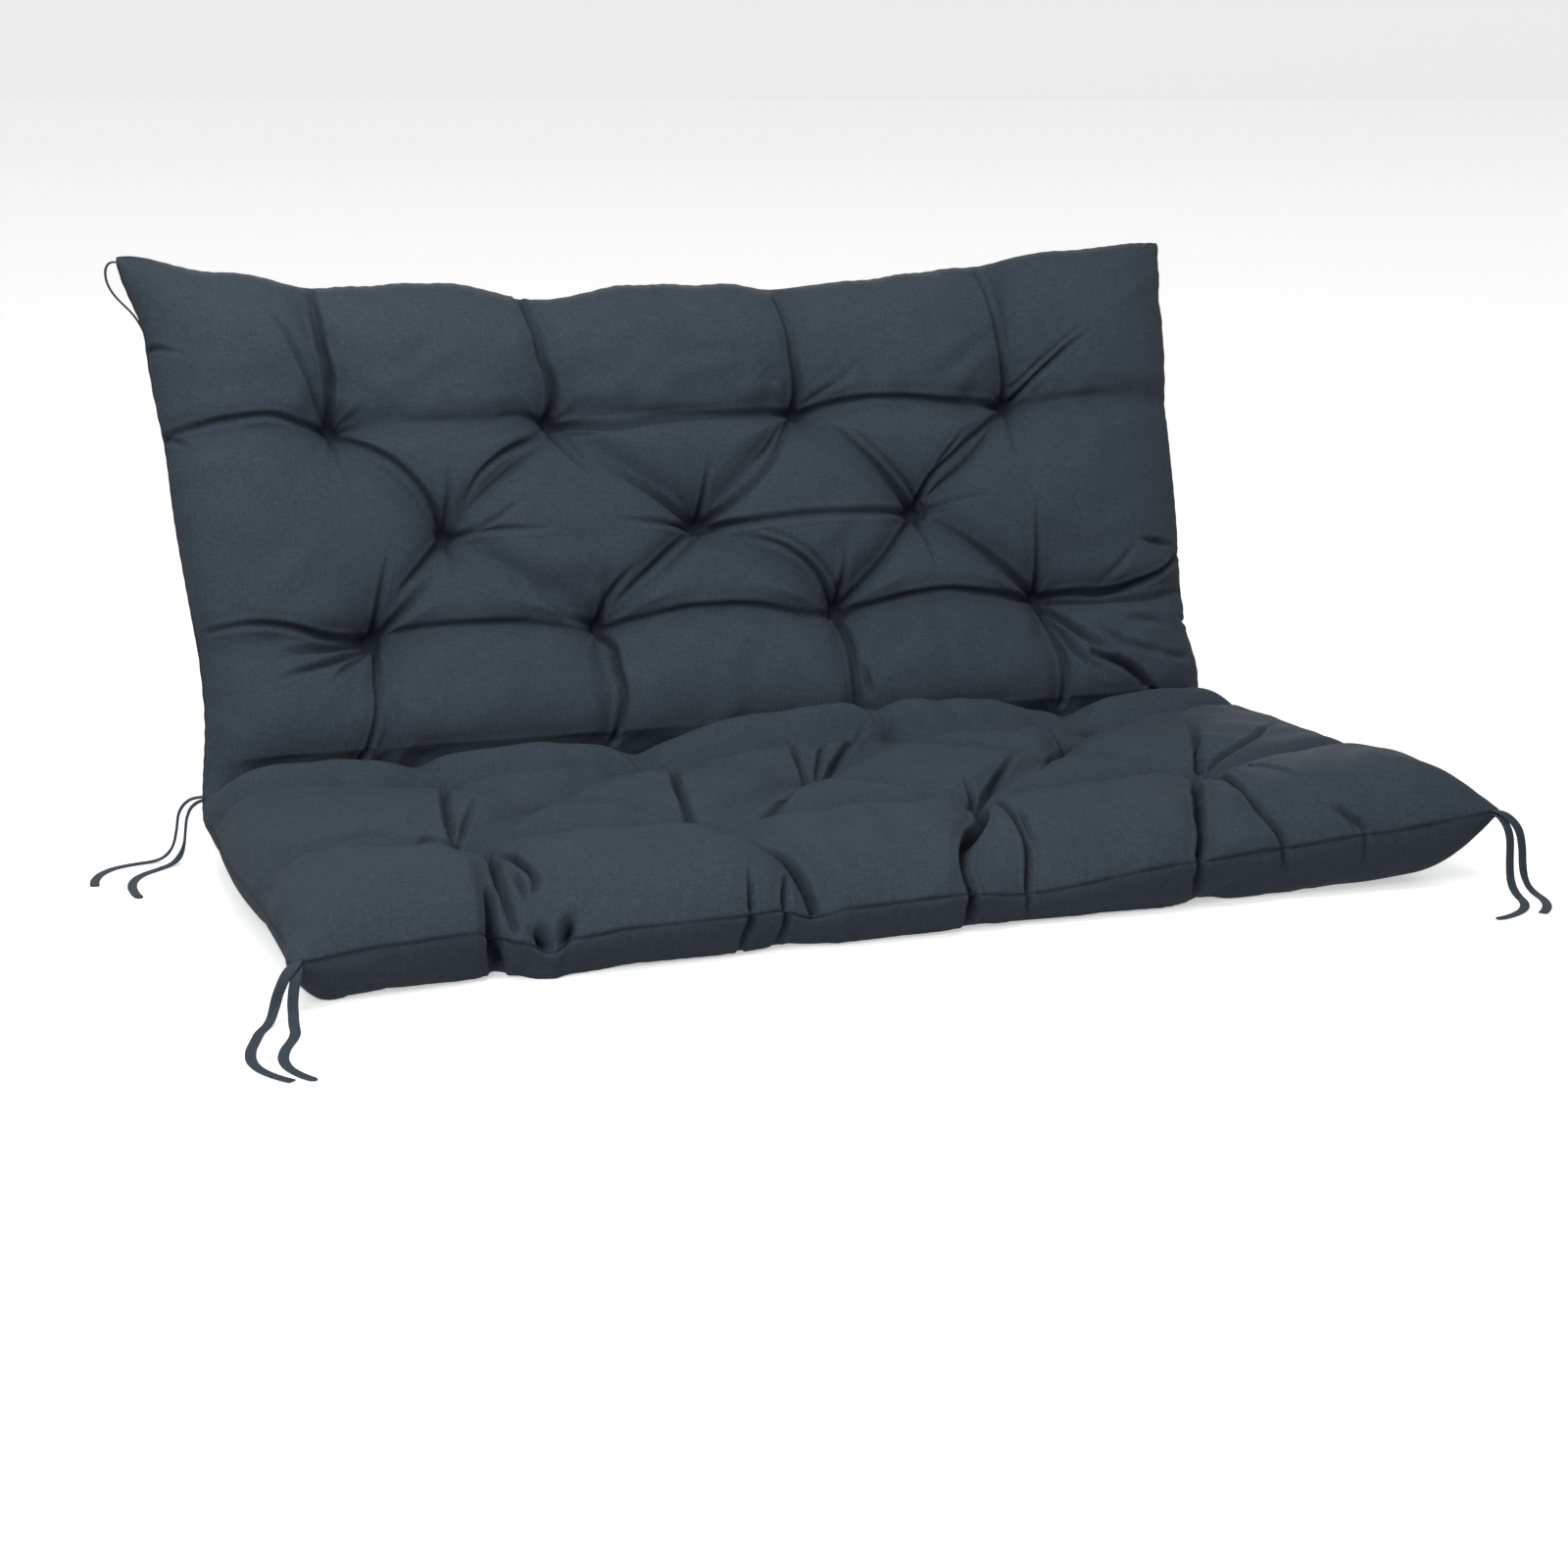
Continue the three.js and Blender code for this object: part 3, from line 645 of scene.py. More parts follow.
def pulledGrid(fit):
    # the grid of places (across, run); the nearest place moves onto each tuft, those near it partly
    across, run = np.meshgrid(gridLines(form["width"], fit) - form["width"] / 2, gridLines(panelLength, fit))
    tuftCells = []
    for tuft in tuftPlaces:
        row, column = np.unravel_index(np.argmin(np.hypot(across - tuft[0], run - tuft[1])), across.shape)
        away = np.hypot(across - across[row, column], run - run[row, column]) / fit["pullReach"]
        shift = np.exp(-(away**2))
        across, run = (
            across + shift * (tuft[0] - across[row, column]),
            run + shift * (tuft[1] - run[row, column]),
        )
        tuftCells.append((row, column))
    return across, run, tuftCells


def flatCut(points, fit):
    # each column and row gets the width that most of its cells have in the form, so that the cut lies flat
    acrossSteps = np.percentile(np.linalg.norm(np.diff(points, axis=1), axis=2), fit["spareShare"], axis=0)
    runSteps = np.percentile(np.linalg.norm(np.diff(points, axis=0), axis=2), fit["spareShare"], axis=1)
    x = np.concatenate([[0], np.cumsum(acrossSteps)]) * fit["spare"]
    y = np.concatenate([[0], np.cumsum(runSteps)]) * fit["spare"]
    flat = np.zeros_like(points)
    flat[..., 0], flat[..., 1] = np.meshgrid(x, y)
    return flat


def fillCloth(sheets, cuts, helds, fit):
    # Blender's cloth, with all panels in one object; returns where their points come to rest
    shape = sheets[0].shape[:2]
    count = shape[0] * shape[1]
    faces = [gridFaces(*shape, first=i * count, turned=i > 0) for i in range(len(sheets))]
    points = np.concatenate([sheet.reshape(-1, 3) for sheet in sheets])
    pattern = np.concatenate([cut.reshape(-1, 3) for cut in cuts])
    bag = meshFromArrays("filling", points, np.concatenate(faces))
    bag.shape_key_add(name="form")
    cutKey = bag.shape_key_add(name="cut")
    cutKey.data.foreach_set("co", pattern.astype(np.float32).ravel())
    group = bag.vertex_groups.new(name="held")
    group.add([int(i) for i in np.flatnonzero(np.concatenate([held.ravel() for held in helds]))], 1.0, "ADD")
    cloth = bag.modifiers.new("filling", "CLOTH")
    settings = cloth.settings
    settings.quality = fit["quality"]
    settings.mass = fit["vertexMass"]
    settings.tension_stiffness = fit["tension"]
    settings.compression_stiffness = fit["compression"]
    settings.shear_stiffness = fit["shear"]
    settings.bending_stiffness = fit["bending"]
    settings.rest_shape_key = cutKey
    settings.vertex_group_mass = group.name
    settings.use_pressure = True
    settings.uniform_pressure_force = fit["pressure"]
    settings.effector_weights.gravity = 0
    cloth.collision_settings.use_collision = False
    cloth.point_cache.frame_start = 1
    cloth.point_cache.frame_end = fit["frames"]
    for moment in range(1, fit["frames"] + 1):
        scene.frame_set(moment)
    settled = bag.evaluated_get(bpy.context.evaluated_depsgraph_get())
    moved = np.empty(len(points) * 3, np.float32)
    settled.data.vertices.foreach_get("co", moved)
    mesh = bag.data
    bpy.data.objects.remove(bag)
    bpy.data.meshes.remove(mesh)
    scene.frame_set(1)
    return [part.reshape(*shape, 3) for part in np.split(moved.astype(float), len(sheets))]


def blurred(field, cells):
    # a Gaussian average along both ways of the grid, e^(-(cells away)^2 / 2 reach^2), edges held still
    reach = int(cells * 3)
    weights = np.exp(-(np.arange(-reach, reach + 1) ** 2) / (2 * cells**2))
    weights /= weights.sum()
    for axis in (0, 1):
        padding = [(reach, reach) if side == axis else (0, 0) for side in range(field.ndim)]
        padded = np.pad(field, padding)
        length = field.shape[axis]
        shifted = (np.take(padded, range(i, i + length), axis=axis) for i in range(len(weights)))
        field = np.sum([part * weight for part, weight in zip(shifted, weights)], axis=0)
    return field


def finerGrid(field, times):
    # Catmull-Rom between the grid's lines, first down the rows and then along them; beside the outline
    # the new lines crowd towards it, by the power 1.8 of their even places
    for axis in (0, 1):
        field = np.moveaxis(field, axis, 0)
        ends = np.concatenate([2 * field[:1] - field[1:2], field, 2 * field[-1:] - field[-2:-1]])
        before, here, ahead, after = ends[:-3, None], ends[1:-2, None], ends[2:-1, None], ends[3:, None]
        share = np.tile(np.arange(times) / times, (len(field) - 1, 1))
        share[0] = share[0] ** 1.8
        share[-1] = 1 - (1 - share[-1]) ** 1.8
        share = share.reshape(*share.shape, *([1] * (field.ndim - 1)))
        between = 0.5 * (
            before * (-share + 2 * share**2 - share**3) + here * (2 - 5 * share**2 + 3 * share**3)
            + ahead * (share + 4 * share**2 - 3 * share**3) + after * (share**3 - share**2)
        )
        field = np.concatenate([between.reshape(-1, *field.shape[1:]), field[-1:]])
        field = np.moveaxis(field, 0, axis)
    return field


def surfaceNormals(points):
    # the cross product of the steps across and along
    return unit(np.cross(np.gradient(points, axis=1), np.gradient(points, axis=0)))


# Creases of the cloth that the filling alone doesn't draw. Each has its places, how deep it is at its
# start, middle and end, how wide it is, and on which side a second one runs beside it (0 for none).
# Places are pairs in millimetres: across and up from the fold's corner on the back, across and run on
# the seat.


creaseForm = {
    "depth": 0.0090,
    "width": 0.0027,  # how fast a valley falls off to its sides
    "blunt": 0.0011,  # rounding of its bottom
    "broad": 0.32,  # share of the depth that falls off slowly
    "broadWidth": 0.0105,
    "ridge": 0.30,  # height of the swelling beside it, as a share of its depth
    "ridgeAway": 2.5,  # how many widths away it lies
    "ridgeWidth": 1.5,
    "besideAway": 0.0115,  # from a valley to its second one
    "besideDepth": 0.45,
    "besideWidth": 0.7,
    "ridgeStops": 0.25,  # share of the depth at which a valley has taken the swelling away
    "lineStep": 0.008,
    "shadePower": 1.5,  # how quickly the painted shade deepens with a valley's depth
}

backCreases = [
    # top row of tufts, and from it to the top seam
    ((-426, 376, -421, 440, -424, 500, -409, 560), (1.3, 0.6, 0.8), 0.9, 0),
    ((-426, 376, -454, 468, -483, 537), (0.7, 0.5, 0), 0.9, 0),
    ((-426, 376, -456, 382, -490, 390, -533, 387, -596, 381), (0.7, 0.45, 0.6), 0.8, 0),
    ((-426, 376, -391, 354, -359, 330, -328, 292, -314, 262), (0.7, 0.4, 0.9), 0.9, 0),
    ((-426, 370, -419, 322, -414, 296), (0.5, 0.1, 0), 0.8, 0),
    ((-426, 376, -388, 375), (0.7, 0.1, 0), 0.9, 0),
    ((-180, 376, -174, 395, -175, 425, -183, 475, -180, 565), (1.3, 0.4, 1), 1, 0),
    ((-180, 374, -118, 368, -49, 372, 22, 374, 115, 378), (1, 0.35, 0.8), 0.9, 0),
    ((-180, 378, -216, 383, -258, 377), (0.6, 0.2, 0), 1, 0),
    ((-180, 366, -141, 360, -105, 361), (0.4, 0.2, 0), 0.8, 0),
    ((115, 376, 162, 383, 220, 386, 300, 380, 382, 377), (0.9, 0.35, 0.9), 0.9, 0),
    ((115, 376, 117, 401, 113, 442, 111, 480, 108, 550), (1.2, 0.4, 0.9), 1, 0),
    ((120, 385, 161, 407, 195, 442), (0.35, 0.2, 0), 1.3, 0),
    ((382, 376, 381, 403, 371, 444, 362, 500, 354, 554), (1.2, 0.4, 0.6), 1, 0),
    ((382, 376, 416, 407, 446, 432, 486, 461), (1.1, 0.4, 0), 0.9, 1),
    ((382, 376, 441, 378, 516, 385), (0.5, 0.2, 0), 1.2, 0),
    ((383, 372, 380, 330, 381, 306), (0.5, 0.2, 0), 1.1, 0),
    # between the top and the middle row
    ((-192, 362, -241, 341, -272, 319, -289, 295), (0.4, 0.7, 0.1), 0.8, 0),
    ((-190, 352, -236, 324, -285, 287), (0.3, 0.5, 0.1), 0.7, 0),
    ((-178, 364, -153, 325, -124, 300), (0.7, 0.4, 0), 0.8, 1),
    ((-130, 327, -81, 299, -17, 257), (0.1, 0.6, 1), 0.9, 0),
    ((107, 366, 61, 311, 23, 282, -17, 258), (0.5, 0.5, 1), 0.9, 0),
    ((92, 360, 69, 334, 49, 318), (0.2, 0.5, 0), 0.7, 0),
    ((150, 360, 195, 317, 251, 262), (0.1, 0.5, 1), 0.9, 1),
    ((378, 371, 307, 324, 268, 293, 251, 262), (0.5, 0.3, 1.2), 0.9, 0),
    ((366, 360, 320, 315, 264, 276), (0.3, 0.5, 0.3), 0.7, 0),
    ((311, 342, 271, 303), (0, 0.6, 0), 0.7, 0),
    # middle row of tufts
    ((-314, 260, -308, 296, -303, 338), (0.8, 0.3, 0), 1.1, 0),
    ((-314, 260, -273, 268, -221, 295), (0.7, 0.4, 0), 0.8, 0),
    ((-314, 260, -274, 262, -198, 258), (0.9, 0.4, 0), 0.8, 0),
    ((-314, 260, -342, 273), (0.7, 0.1, 0), 1, 0),
    ((-314, 258, -314, 230, -317, 205), (0.6, 0.2, 0), 1.2, 0),
    ((-17, 257, -82, 261, -126, 264), (1.1, 0.3, 0), 0.9, 0),
    ((-17, 257, -10, 294, -3, 331), (1.1, 0.3, 0), 0.9, 0),
    ((-20, 262, -46, 290), (0.6, 0.1, 0), 1, 0),
    ((-17, 256, 30, 256, 100, 260, 173, 260, 251, 261), (1.1, 0.25, 1), 1, 0),
    ((251, 261, 302, 270, 337, 272), (0.7, 0.2, 0), 0.9, 0),
    ((252, 258, 302, 262), (0.6, 0.2, 0), 0.9, 0),
    ((252, 258, 258, 222, 263, 185), (0.8, 0.3, 0), 0.9, 0),
    # between the middle and the bottom row
    ((-318, 256, -357, 221, -385, 196), (0.8, 0.6, 0), 0.8, 0),
    ((-331, 225, -368, 193, -411, 158), (0, 0.6, 0.9), 0.8, 0),
    ((-20, 254, -45, 241, -87, 212, -133, 179), (0.5, 0.6, 0.1), 0.8, 0),
    ((-17, 250, -71, 208, -105, 187), (0.5, 0.4, 0), 0.8, 0),
    ((24, 244, 77, 224, 113, 196, 139, 160), (0, 0.5, 0.9), 0.8, 1),
    ((249, 258, 195, 204, 141, 160), (0.7, 0.3, 0.9), 0.9, 0),
    ((273, 248, 320, 214, 399, 158), (0.3, 0.5, 1), 0.9, 0),
    # bottom row of tufts
    ((-154, 156, -136, 189, -103, 220), (1.1, 0.4, 0), 0.9, 0),
    ((-152, 160, -142, 194, -140, 224), (0.5, 0.2, 0), 1, 0),
    ((-154, 160, -192, 168, -232, 211), (0.4, 0.3, 0), 1.1, 0),
    ((-411, 160, -398, 207, -384, 250), (1.2, 0.4, 0), 0.9, 0),
    ((140, 158, 147, 195, 150, 234), (1, 0.3, 0), 1.1, 0),
    ((399, 157, 396, 199, 394, 267), (1.2, 0.5, 0), 1, 0),
    ((-411, 162, -346, 164, -263, 163, -193, 156, -154, 155), (0.5, 0.15, 0.4), 0.9, 0),
    ((-154, 155, -101, 160, -43, 167, 28, 165, 90, 155, 139, 154), (0.6, 0.2, 0.6), 0.9, 0),
    ((139, 155, 189, 161, 268, 169, 319, 164, 399, 156), (0.9, 0.3, 0.9), 0.9, 0),
    ((-411, 158, -467, 160, -499, 169, -545, 176, -591, 176), (0.9, 0.7, 0.4), 0.8, 0),
    ((-411, 156, -474, 151, -540, 145), (1.2, 0.9, 0), 0.8, 0),
    ((-413, 152, -467, 136, -535, 117), (0.9, 0.9, 0), 0.8, 0),
    ((-413, 150, -451, 128, -476, 108), (0.8, 0.6, 0), 0.8, 0),
    ((-411, 152, -416, 120, -425, 60, -440, 10), (1, 0.5, 0.9), 0.9, 0),
    ((-154, 152, -143, 133, -144, 110, -142, 85, -149, 28), (1, 0.6, 0.9), 0.9, 0),
    ((140, 150, 144, 121, 141, 71, 145, 30), (1, 0.5, 0.8), 0.9, 0),
    ((151, 95, 155, 60), (0, 0.7, 0.3), 0.8, 0),
    ((399, 153, 405, 116, 408, 75, 402, 30), (1.1, 0.5, 0.7), 0.9, 0),
    ((402, 159, 440, 159, 479, 157, 519, 163, 560, 176, 594, 200), (1.1, 0.8, 1), 0.8, 0),
    ((410, 154, 477, 150, 541, 149, 592, 156), (1.1, 0.8, 0.3), 0.8, 0),
    ((525, 213, 555, 209, 580, 205), (0, 0.9, 0.2), 0.8, 0),
    ((470, 166, 500, 188, 520, 208), (0, 0.4, 0), 1.2, 0),
    ((492, 125, 530, 121, 560, 112), (0, 0.7, 0), 1.2, 0),
    ((530, 84, 556, 78, 580, 78), (0, 0.6, 0), 1.2, 0),
    ((447, 88, 484, 70, 522, 32), (0.9, 1.3, 0.8), 1.2, 0),
    ((402, 148, 437, 112, 475, 84), (0.8, 1, 0), 1.1, 0),
    ((402, 143, 423, 95, 455, 58), (0.7, 0.8, 0), 1.1, 0),
    ((455, 118, 500, 92, 545, 80), (0, 0.7, 0), 1.1, 0),
    # puckers at the side seams
    ((-598, 472, -562, 452), (0.9, 0, 0), 0.7, 0),
    ((-599, 379, -565, 350), (0.8, 0, 0), 0.8, 0),
    ((598, 120, 555, 128), (0.7, 0, 0), 0.8, 0),
]

seatCreases = [
    # far left and the first dome
    ((-362, 441, -380, 340, -397, 261, -403, 211), (0.2, 0.9, 1.2), 0.98, 0),
    ((-403, 210, -387, 237, -349, 321), (1, 0.5, 0), 0.82, 0),
    ((-403, 210, -427, 214, -466, 168), (0.8, 0.4, 0), 0.82, 0),
    ((-386, 170, -394, 110, -401, 55, -396, 8), (0.8, 1.2, 0.9), 0.82, 0),
    ((-383, 150, -374, 90, -369, 52, -378, 34), (0.5, 1.5, 0.2), 0.82, 0),
    ((-388, 80, -383, 48, -380, 32), (0, 0.9, 0.4), 0.74, 0),
    ((-409, 45, -413, 18, -415, 2), (0.1, 1.2, 2.8), 0.82, 0),
    ((-379, 6, -370, 4, -367, 2), (0.5, 1.6, 0.9), 1.31, 0),
    ((-356, 2, -350, 4, -342, 7), (0.9, 1.8, 0.5), 1.31, 0),
    ((-532, 203, -479, 217, -435, 190), (0.1, 0.5, 0.1), 1.15, 0),
    # second dome
    ((-112, 431, -140, 340, -161, 255, -167, 214), (0.1, 1.1, 1.1), 0.9, 0),
    ((-160, 160, -84, 204, 10, 310), (0.6, 0.6, 0.2), 0.9, 0),
    ((-168, 150, -166, 105, -142, 82, -123, 50, -116, 20, -113, 3), (1.5, 1.4, 1.5), 0.82, 0),
    ((-168, 30, -175, 3), (0.1, 0.5, 1.5), 0.74, 0),
    ((-130, 30, -141, 3), (0.1, 0.8, 1.6), 0.74, 0),
    # third
    ((22, 435, 12, 390, 4, 330), (0.1, 0.9, 1.2), 0.82, 0),
    ((120, 448, 71, 395, 22, 335), (0, 0.9, 1), 0.82, 0),
    ((60, 425, 18, 342), (0, 0.9, 0.6), 0.66, 0),
    ((143, 250, 136, 215, 122, 190), (0, 0.9, 1.2), 0.82, 0),
    ((246, 334, 170, 239, 122, 190), (0, 0.8, 1.2), 0.82, 0),
    ((122, 190, 96, 100, 71, 65, 42, 18, 43, 2), (1, 1.8, 2.8), 0.9, 0),
    ((130, 160, 126, 122, 121, 69, 117, 33, 104, 2), (0.8, 0.9, 1.4), 0.66, 0),
    ((134, 109, 123, 29), (0, 0.9, 0.4), 0.57, 0),
    # fourth
    ((322, 402, 316, 362, 276, 325), (0.5, 1.2, 1), 0.9, 0),
    ((276, 320, 209, 217), (0.6, 0.6, 0), 0.82, 0),
    ((372, 194, 340, 205, 247, 138), (0.9, 0.4, 0), 0.82, 0),
    ((372, 190, 308, 52, 286, 10, 280, 2), (0.2, 1.1, 2), 0.82, 0),
    ((388, 192, 366, 110, 360, 60, 362, 25, 373, 2), (0.8, 1.2, 1.3), 0.82, 0),
    ((385, 195, 412, 107, 427, 39), (0.5, 0.5, 0), 0.82, 0),
    ((431, 20, 460, 2), (0, 0.8, 0.9), 0.66, 0),
    ((441, 25, 448, 4), (0, 0.6, 0.6), 0.66, 0),
    ((450, 333, 420, 270, 390, 210), (0, 0.9, 1.1), 0.9, 0),
    ((540, 300, 470, 240, 395, 205), (0, 0.6, 0.9), 0.9, 0),
]

# The same creases where they go on below the front seam, across and run on the under panel
bandCreases = [
    ((-415, 1, -409, 12, -408, 34), (2.2, 1.2, 0.2), 1, 0),
    ((-175, 1, -183, 8, -182, 22), (1.3, 0.4, 0), 0.8, 0),
    ((-140, 1, -143, 10, -150, 24), (1.2, 0.3, 0), 0.8, 0),
    ((43, 1, 46, 9, 44, 28), (2, 0.6, 0), 1, 0),
    ((104, 1, 110, 10), (0.9, 0, 0), 0.8, 0),
    ((280, 1, 283, 10, 290, 26), (1.5, 0.5, 0), 0.9, 0),
    ((373, 1, 392, 16), (0.9, 0, 0), 0.8, 0),
    ((460, 1, 468, 14), (0.6, 0, 0), 0.8, 0),
]


def distanceToLine(x, y, line):
    # of the nearest stretch: distance, share of the way along the line, and side (1 on its left)
    away, share, side = np.full(x.shape, np.inf), np.zeros(x.shape), np.zeros(x.shape)
    for i, (start, end) in enumerate(zip(line, line[1:])):
        here, along = distanceToStretch(x, y, start, end)
        left = (end[0] - start[0]) * (y - start[1]) - (end[1] - start[1]) * (x - start[0])
        nearer = here < away
        share = np.where(nearer, (i + along) / (len(line) - 1), share)
        side = np.where(nearer, np.sign(left), side)
        away = np.where(nearer, here, away)
    return away, share, side


def creaseDepth(across, run, creases, crease):
    # how far the creases draw the cloth in. A valley is (1 - broad) * depth * e^(-(root(away^2 +
    # blunt^2) - blunt) / width), and valleys that meet add by the root of the fourth powers. Under it
    # lies a broad one, broad * depth * e^(-(away / broadWidth)^2), the deepest alone. Where there is no
    # valley the cloth swells by ridge * depth * e^(-((away - ridgeAway) / ridgeWidth)^2)
    valleys, broads, ridges = (np.zeros(across.shape) for part in range(3))
    for places, depths, wide, beside in creases:
        line = smoothRoute(np.column_stack([places, np.zeros(len(places))]), crease["lineStep"])[0][:, :2]
        width = crease["width"] * wide
        reach = 7 * width + 2 * crease["broadWidth"] + crease["besideAway"]
        low, high = line.min(axis=0) - reach, line.max(axis=0) + reach
        near = (across > low[0]) & (across < high[0]) & (run > low[1]) & (run < high[1])
        away, share, side = distanceToLine(across[near], run[near], line)
        start, middle, end = depths
        deep = start * (1 - share) ** 2 + end * share**2 + middle * np.sin(np.pi * share)
        deep = deep * crease["depth"]
        blunted = np.hypot(away, crease["blunt"]) - crease["blunt"]
        valley = deep * (1 - crease["broad"]) * np.exp(-blunted / width)
        broad = deep * crease["broad"] * np.exp(-((away / crease["broadWidth"]) ** 2))
        ridge = np.exp(-(((away - crease["ridgeAway"] * width) / (crease["ridgeWidth"] * width)) ** 2))
        if beside:
            second = np.hypot(away * side - beside * crease["besideAway"], crease["blunt"]) - crease["blunt"]
            second = np.exp(-second / (crease["besideWidth"] * width))
            valley = np.maximum(valley, crease["besideDepth"] * deep * second)
        valleys[near] = (valleys[near] ** 4 + valley**4) ** 0.25
        broads[near] = np.maximum(broads[near], broad)
        ridges[near] = np.maximum(ridges[near], crease["ridge"] * deep * ridge)
    return valleys + broads - ridges * np.exp(-valleys / (crease["ridgeStops"] * crease["depth"])), valleys


def creaseLines(rows, shift=0):
    # the rows with their places in metres, moved along the cushion by shift
    return [(np.reshape(places, (-1, 2)) / 1000 + (0, shift), *rest) for places, *rest in rows]


# Where the thread gathers the cloth round a tuft, how uneven the filled cloth is elsewhere, and the painted
# shade in the tufts' pits and the channels

unevenForm = {
    "gather": 0.0011,
    "gatherAway": 0.013,  # from the tuft to the highest part of a gather
    "ripple": 0.0009,
    "rippleLength": 0.062,
    "rippleTurns": (0.5, 1.7, 2.6),  # the ways that the ripples run, in radians
    "seatShare": 1.5,
    "tuftShade": 0.5,  # how deep the painted shade is at a tuft
    "pitShade": 0.40,  # and painted shade more broadly round a tuft of the back, and how far out
    "pitReach": 0.034,
    # painted shade in the channels, for each centimetre of their depth
    "channelShade": 0.10,
}


def hollowShade(across, run, uneven):
    # painted shade in a tuft's pit and in a channel: tuftShade * e^(-(distance / gatherAway)^2) of each
    # tuft, on the back pitShade * e^(-distance / pitReach), and channelShade * the channel's depth in
    # centimetres
    shade = uneven["channelShade"] * 100 * channelDepth(across, run)
    for x, y in tuftPlaces:
        away = np.hypot(across - x, run - y)
        broad = uneven["pitShade"] * onBack(np.array(y)) * np.exp(-away / uneven["pitReach"])
        shade += uneven["tuftShade"] * np.exp(-((away / uneven["gatherAway"]) ** 2)) + broad
    return shade


def clothUneven(across, run, uneven):
    # gathers: waves in the angle round each tuft * s e^(1 - s), s the distance over gatherAway; ripples:
    # sines of three directions, each bent by a slower one, in patches
    lift = np.zeros(across.shape)
    for i, (x, y) in enumerate(tuftPlaces):
        near = np.hypot(across - x, run - y) < 7 * uneven["gatherAway"]
        aside, ahead = across[near] - x, run[near] - y
        angle, share = np.arctan2(ahead, aside), np.hypot(aside, ahead) / uneven["gatherAway"]
        waves = np.sin(9 * angle + 1.9 * np.sin(2 * angle + i)) * (0.6 + 0.4 * np.sin(3 * angle + 1.7 * i))
        lift[near] += uneven["gather"] * waves * share * np.exp(1 - share)
    ripples = np.zeros(across.shape)
    for i, turn in enumerate(uneven["rippleTurns"]):
        ahead = (across * math.cos(turn) + run * math.sin(turn)) / uneven["rippleLength"]
        aside = (run * math.cos(turn) - across * math.sin(turn)) / uneven["rippleLength"]
        bent = 2 * np.pi * ahead + 1.6 * np.sin(1.9 * aside + i) + 1.1 * np.sin(2.3 * ahead + 2.1 * aside)
        patch = 0.5 + 0.5 * np.sin(1.3 * aside - 0.7 * ahead + 2.4 * i)
        ripples += np.sin(bent) * patch**2
    return lift + uneven["ripple"] * ripples * (uneven["seatShare"] + (1 - uneven["seatShare"]) * onBack(run))


# Seams: the two panels bulge a little on both sides of the stitching, which leaves a fine groove, and
# the thread gathers them in small puckers. Painted shade lies along the groove.


seamForm = {
    "lip": 0.0020,
    "lipReach": 0.0003,
    "lipFade": 0.035,
    "pucker": 0.0004,
    "puckerLength": 0.017,
    "puckerReach": 0.016,
    "puckerWander": ((2.6, 23.0, 0), (1.9, 41.0, 1.7)),  # sines: how much, how fast and where they start
    # painted shade along the seam's groove
    "shade": 0.42,
}


def seamLift(across, run, form, seam):
    # lip * (1 - e^(-edge / lipReach)) * e^(-(edge / lipFade)^2) + puckers: sines along the seam whose
    # phase wanders, times e^(-edge / puckerReach), nothing on the seam itself
    sides = np.minimum(across + form["width"] / 2, form["width"] / 2 - across)
    ends = np.minimum(run, panelLength - run)
    edge = np.minimum(sides, ends)
    along = np.where(sides < ends, run, across)
    leaving = 1 - np.exp(-edge / seam["lipReach"])
    lift = seam["lip"] * leaving * np.exp(-((edge / seam["lipFade"]) ** 2))
    wander = sum(size * np.sin(along * pace + start) for size, pace, start in seam["puckerWander"])
    strength = 0.55 + 0.45 * np.sin(along * 31.0 + 0.8) * np.sin(along * 12.0)
    waves = np.sin(2 * np.pi * along / seam["puckerLength"] + wander)
    lift = lift + seam["pucker"] * strength * waves * leaving * np.exp(-edge / seam["puckerReach"])
    # the second value, 1 on the seam and 0 away from it, places the seam's painted shade
    return lift, 1 - leaving


def closedPanels(top, under):
    # both panels as one shell: the under panel takes its outline from the top panel
    rows, columns = top.shape[:2]
    count = rows * columns
    onSeam = np.zeros((rows, columns), bool)
    onSeam[[0, -1]] = onSeam[:, [0, -1]] = True
    number = np.arange(count).reshape(rows, columns)
    underNumber = np.where(onSeam, number, count + np.cumsum(~onSeam.ravel()).reshape(rows, columns) - 1)
    points = np.concatenate([top.reshape(-1, 3), under[~onSeam]])
    faces = gridFaces(rows, columns)
    underFaces = underNumber.ravel()[gridFaces(rows, columns, turned=True)]
    return points, faces, underFaces, onSeam


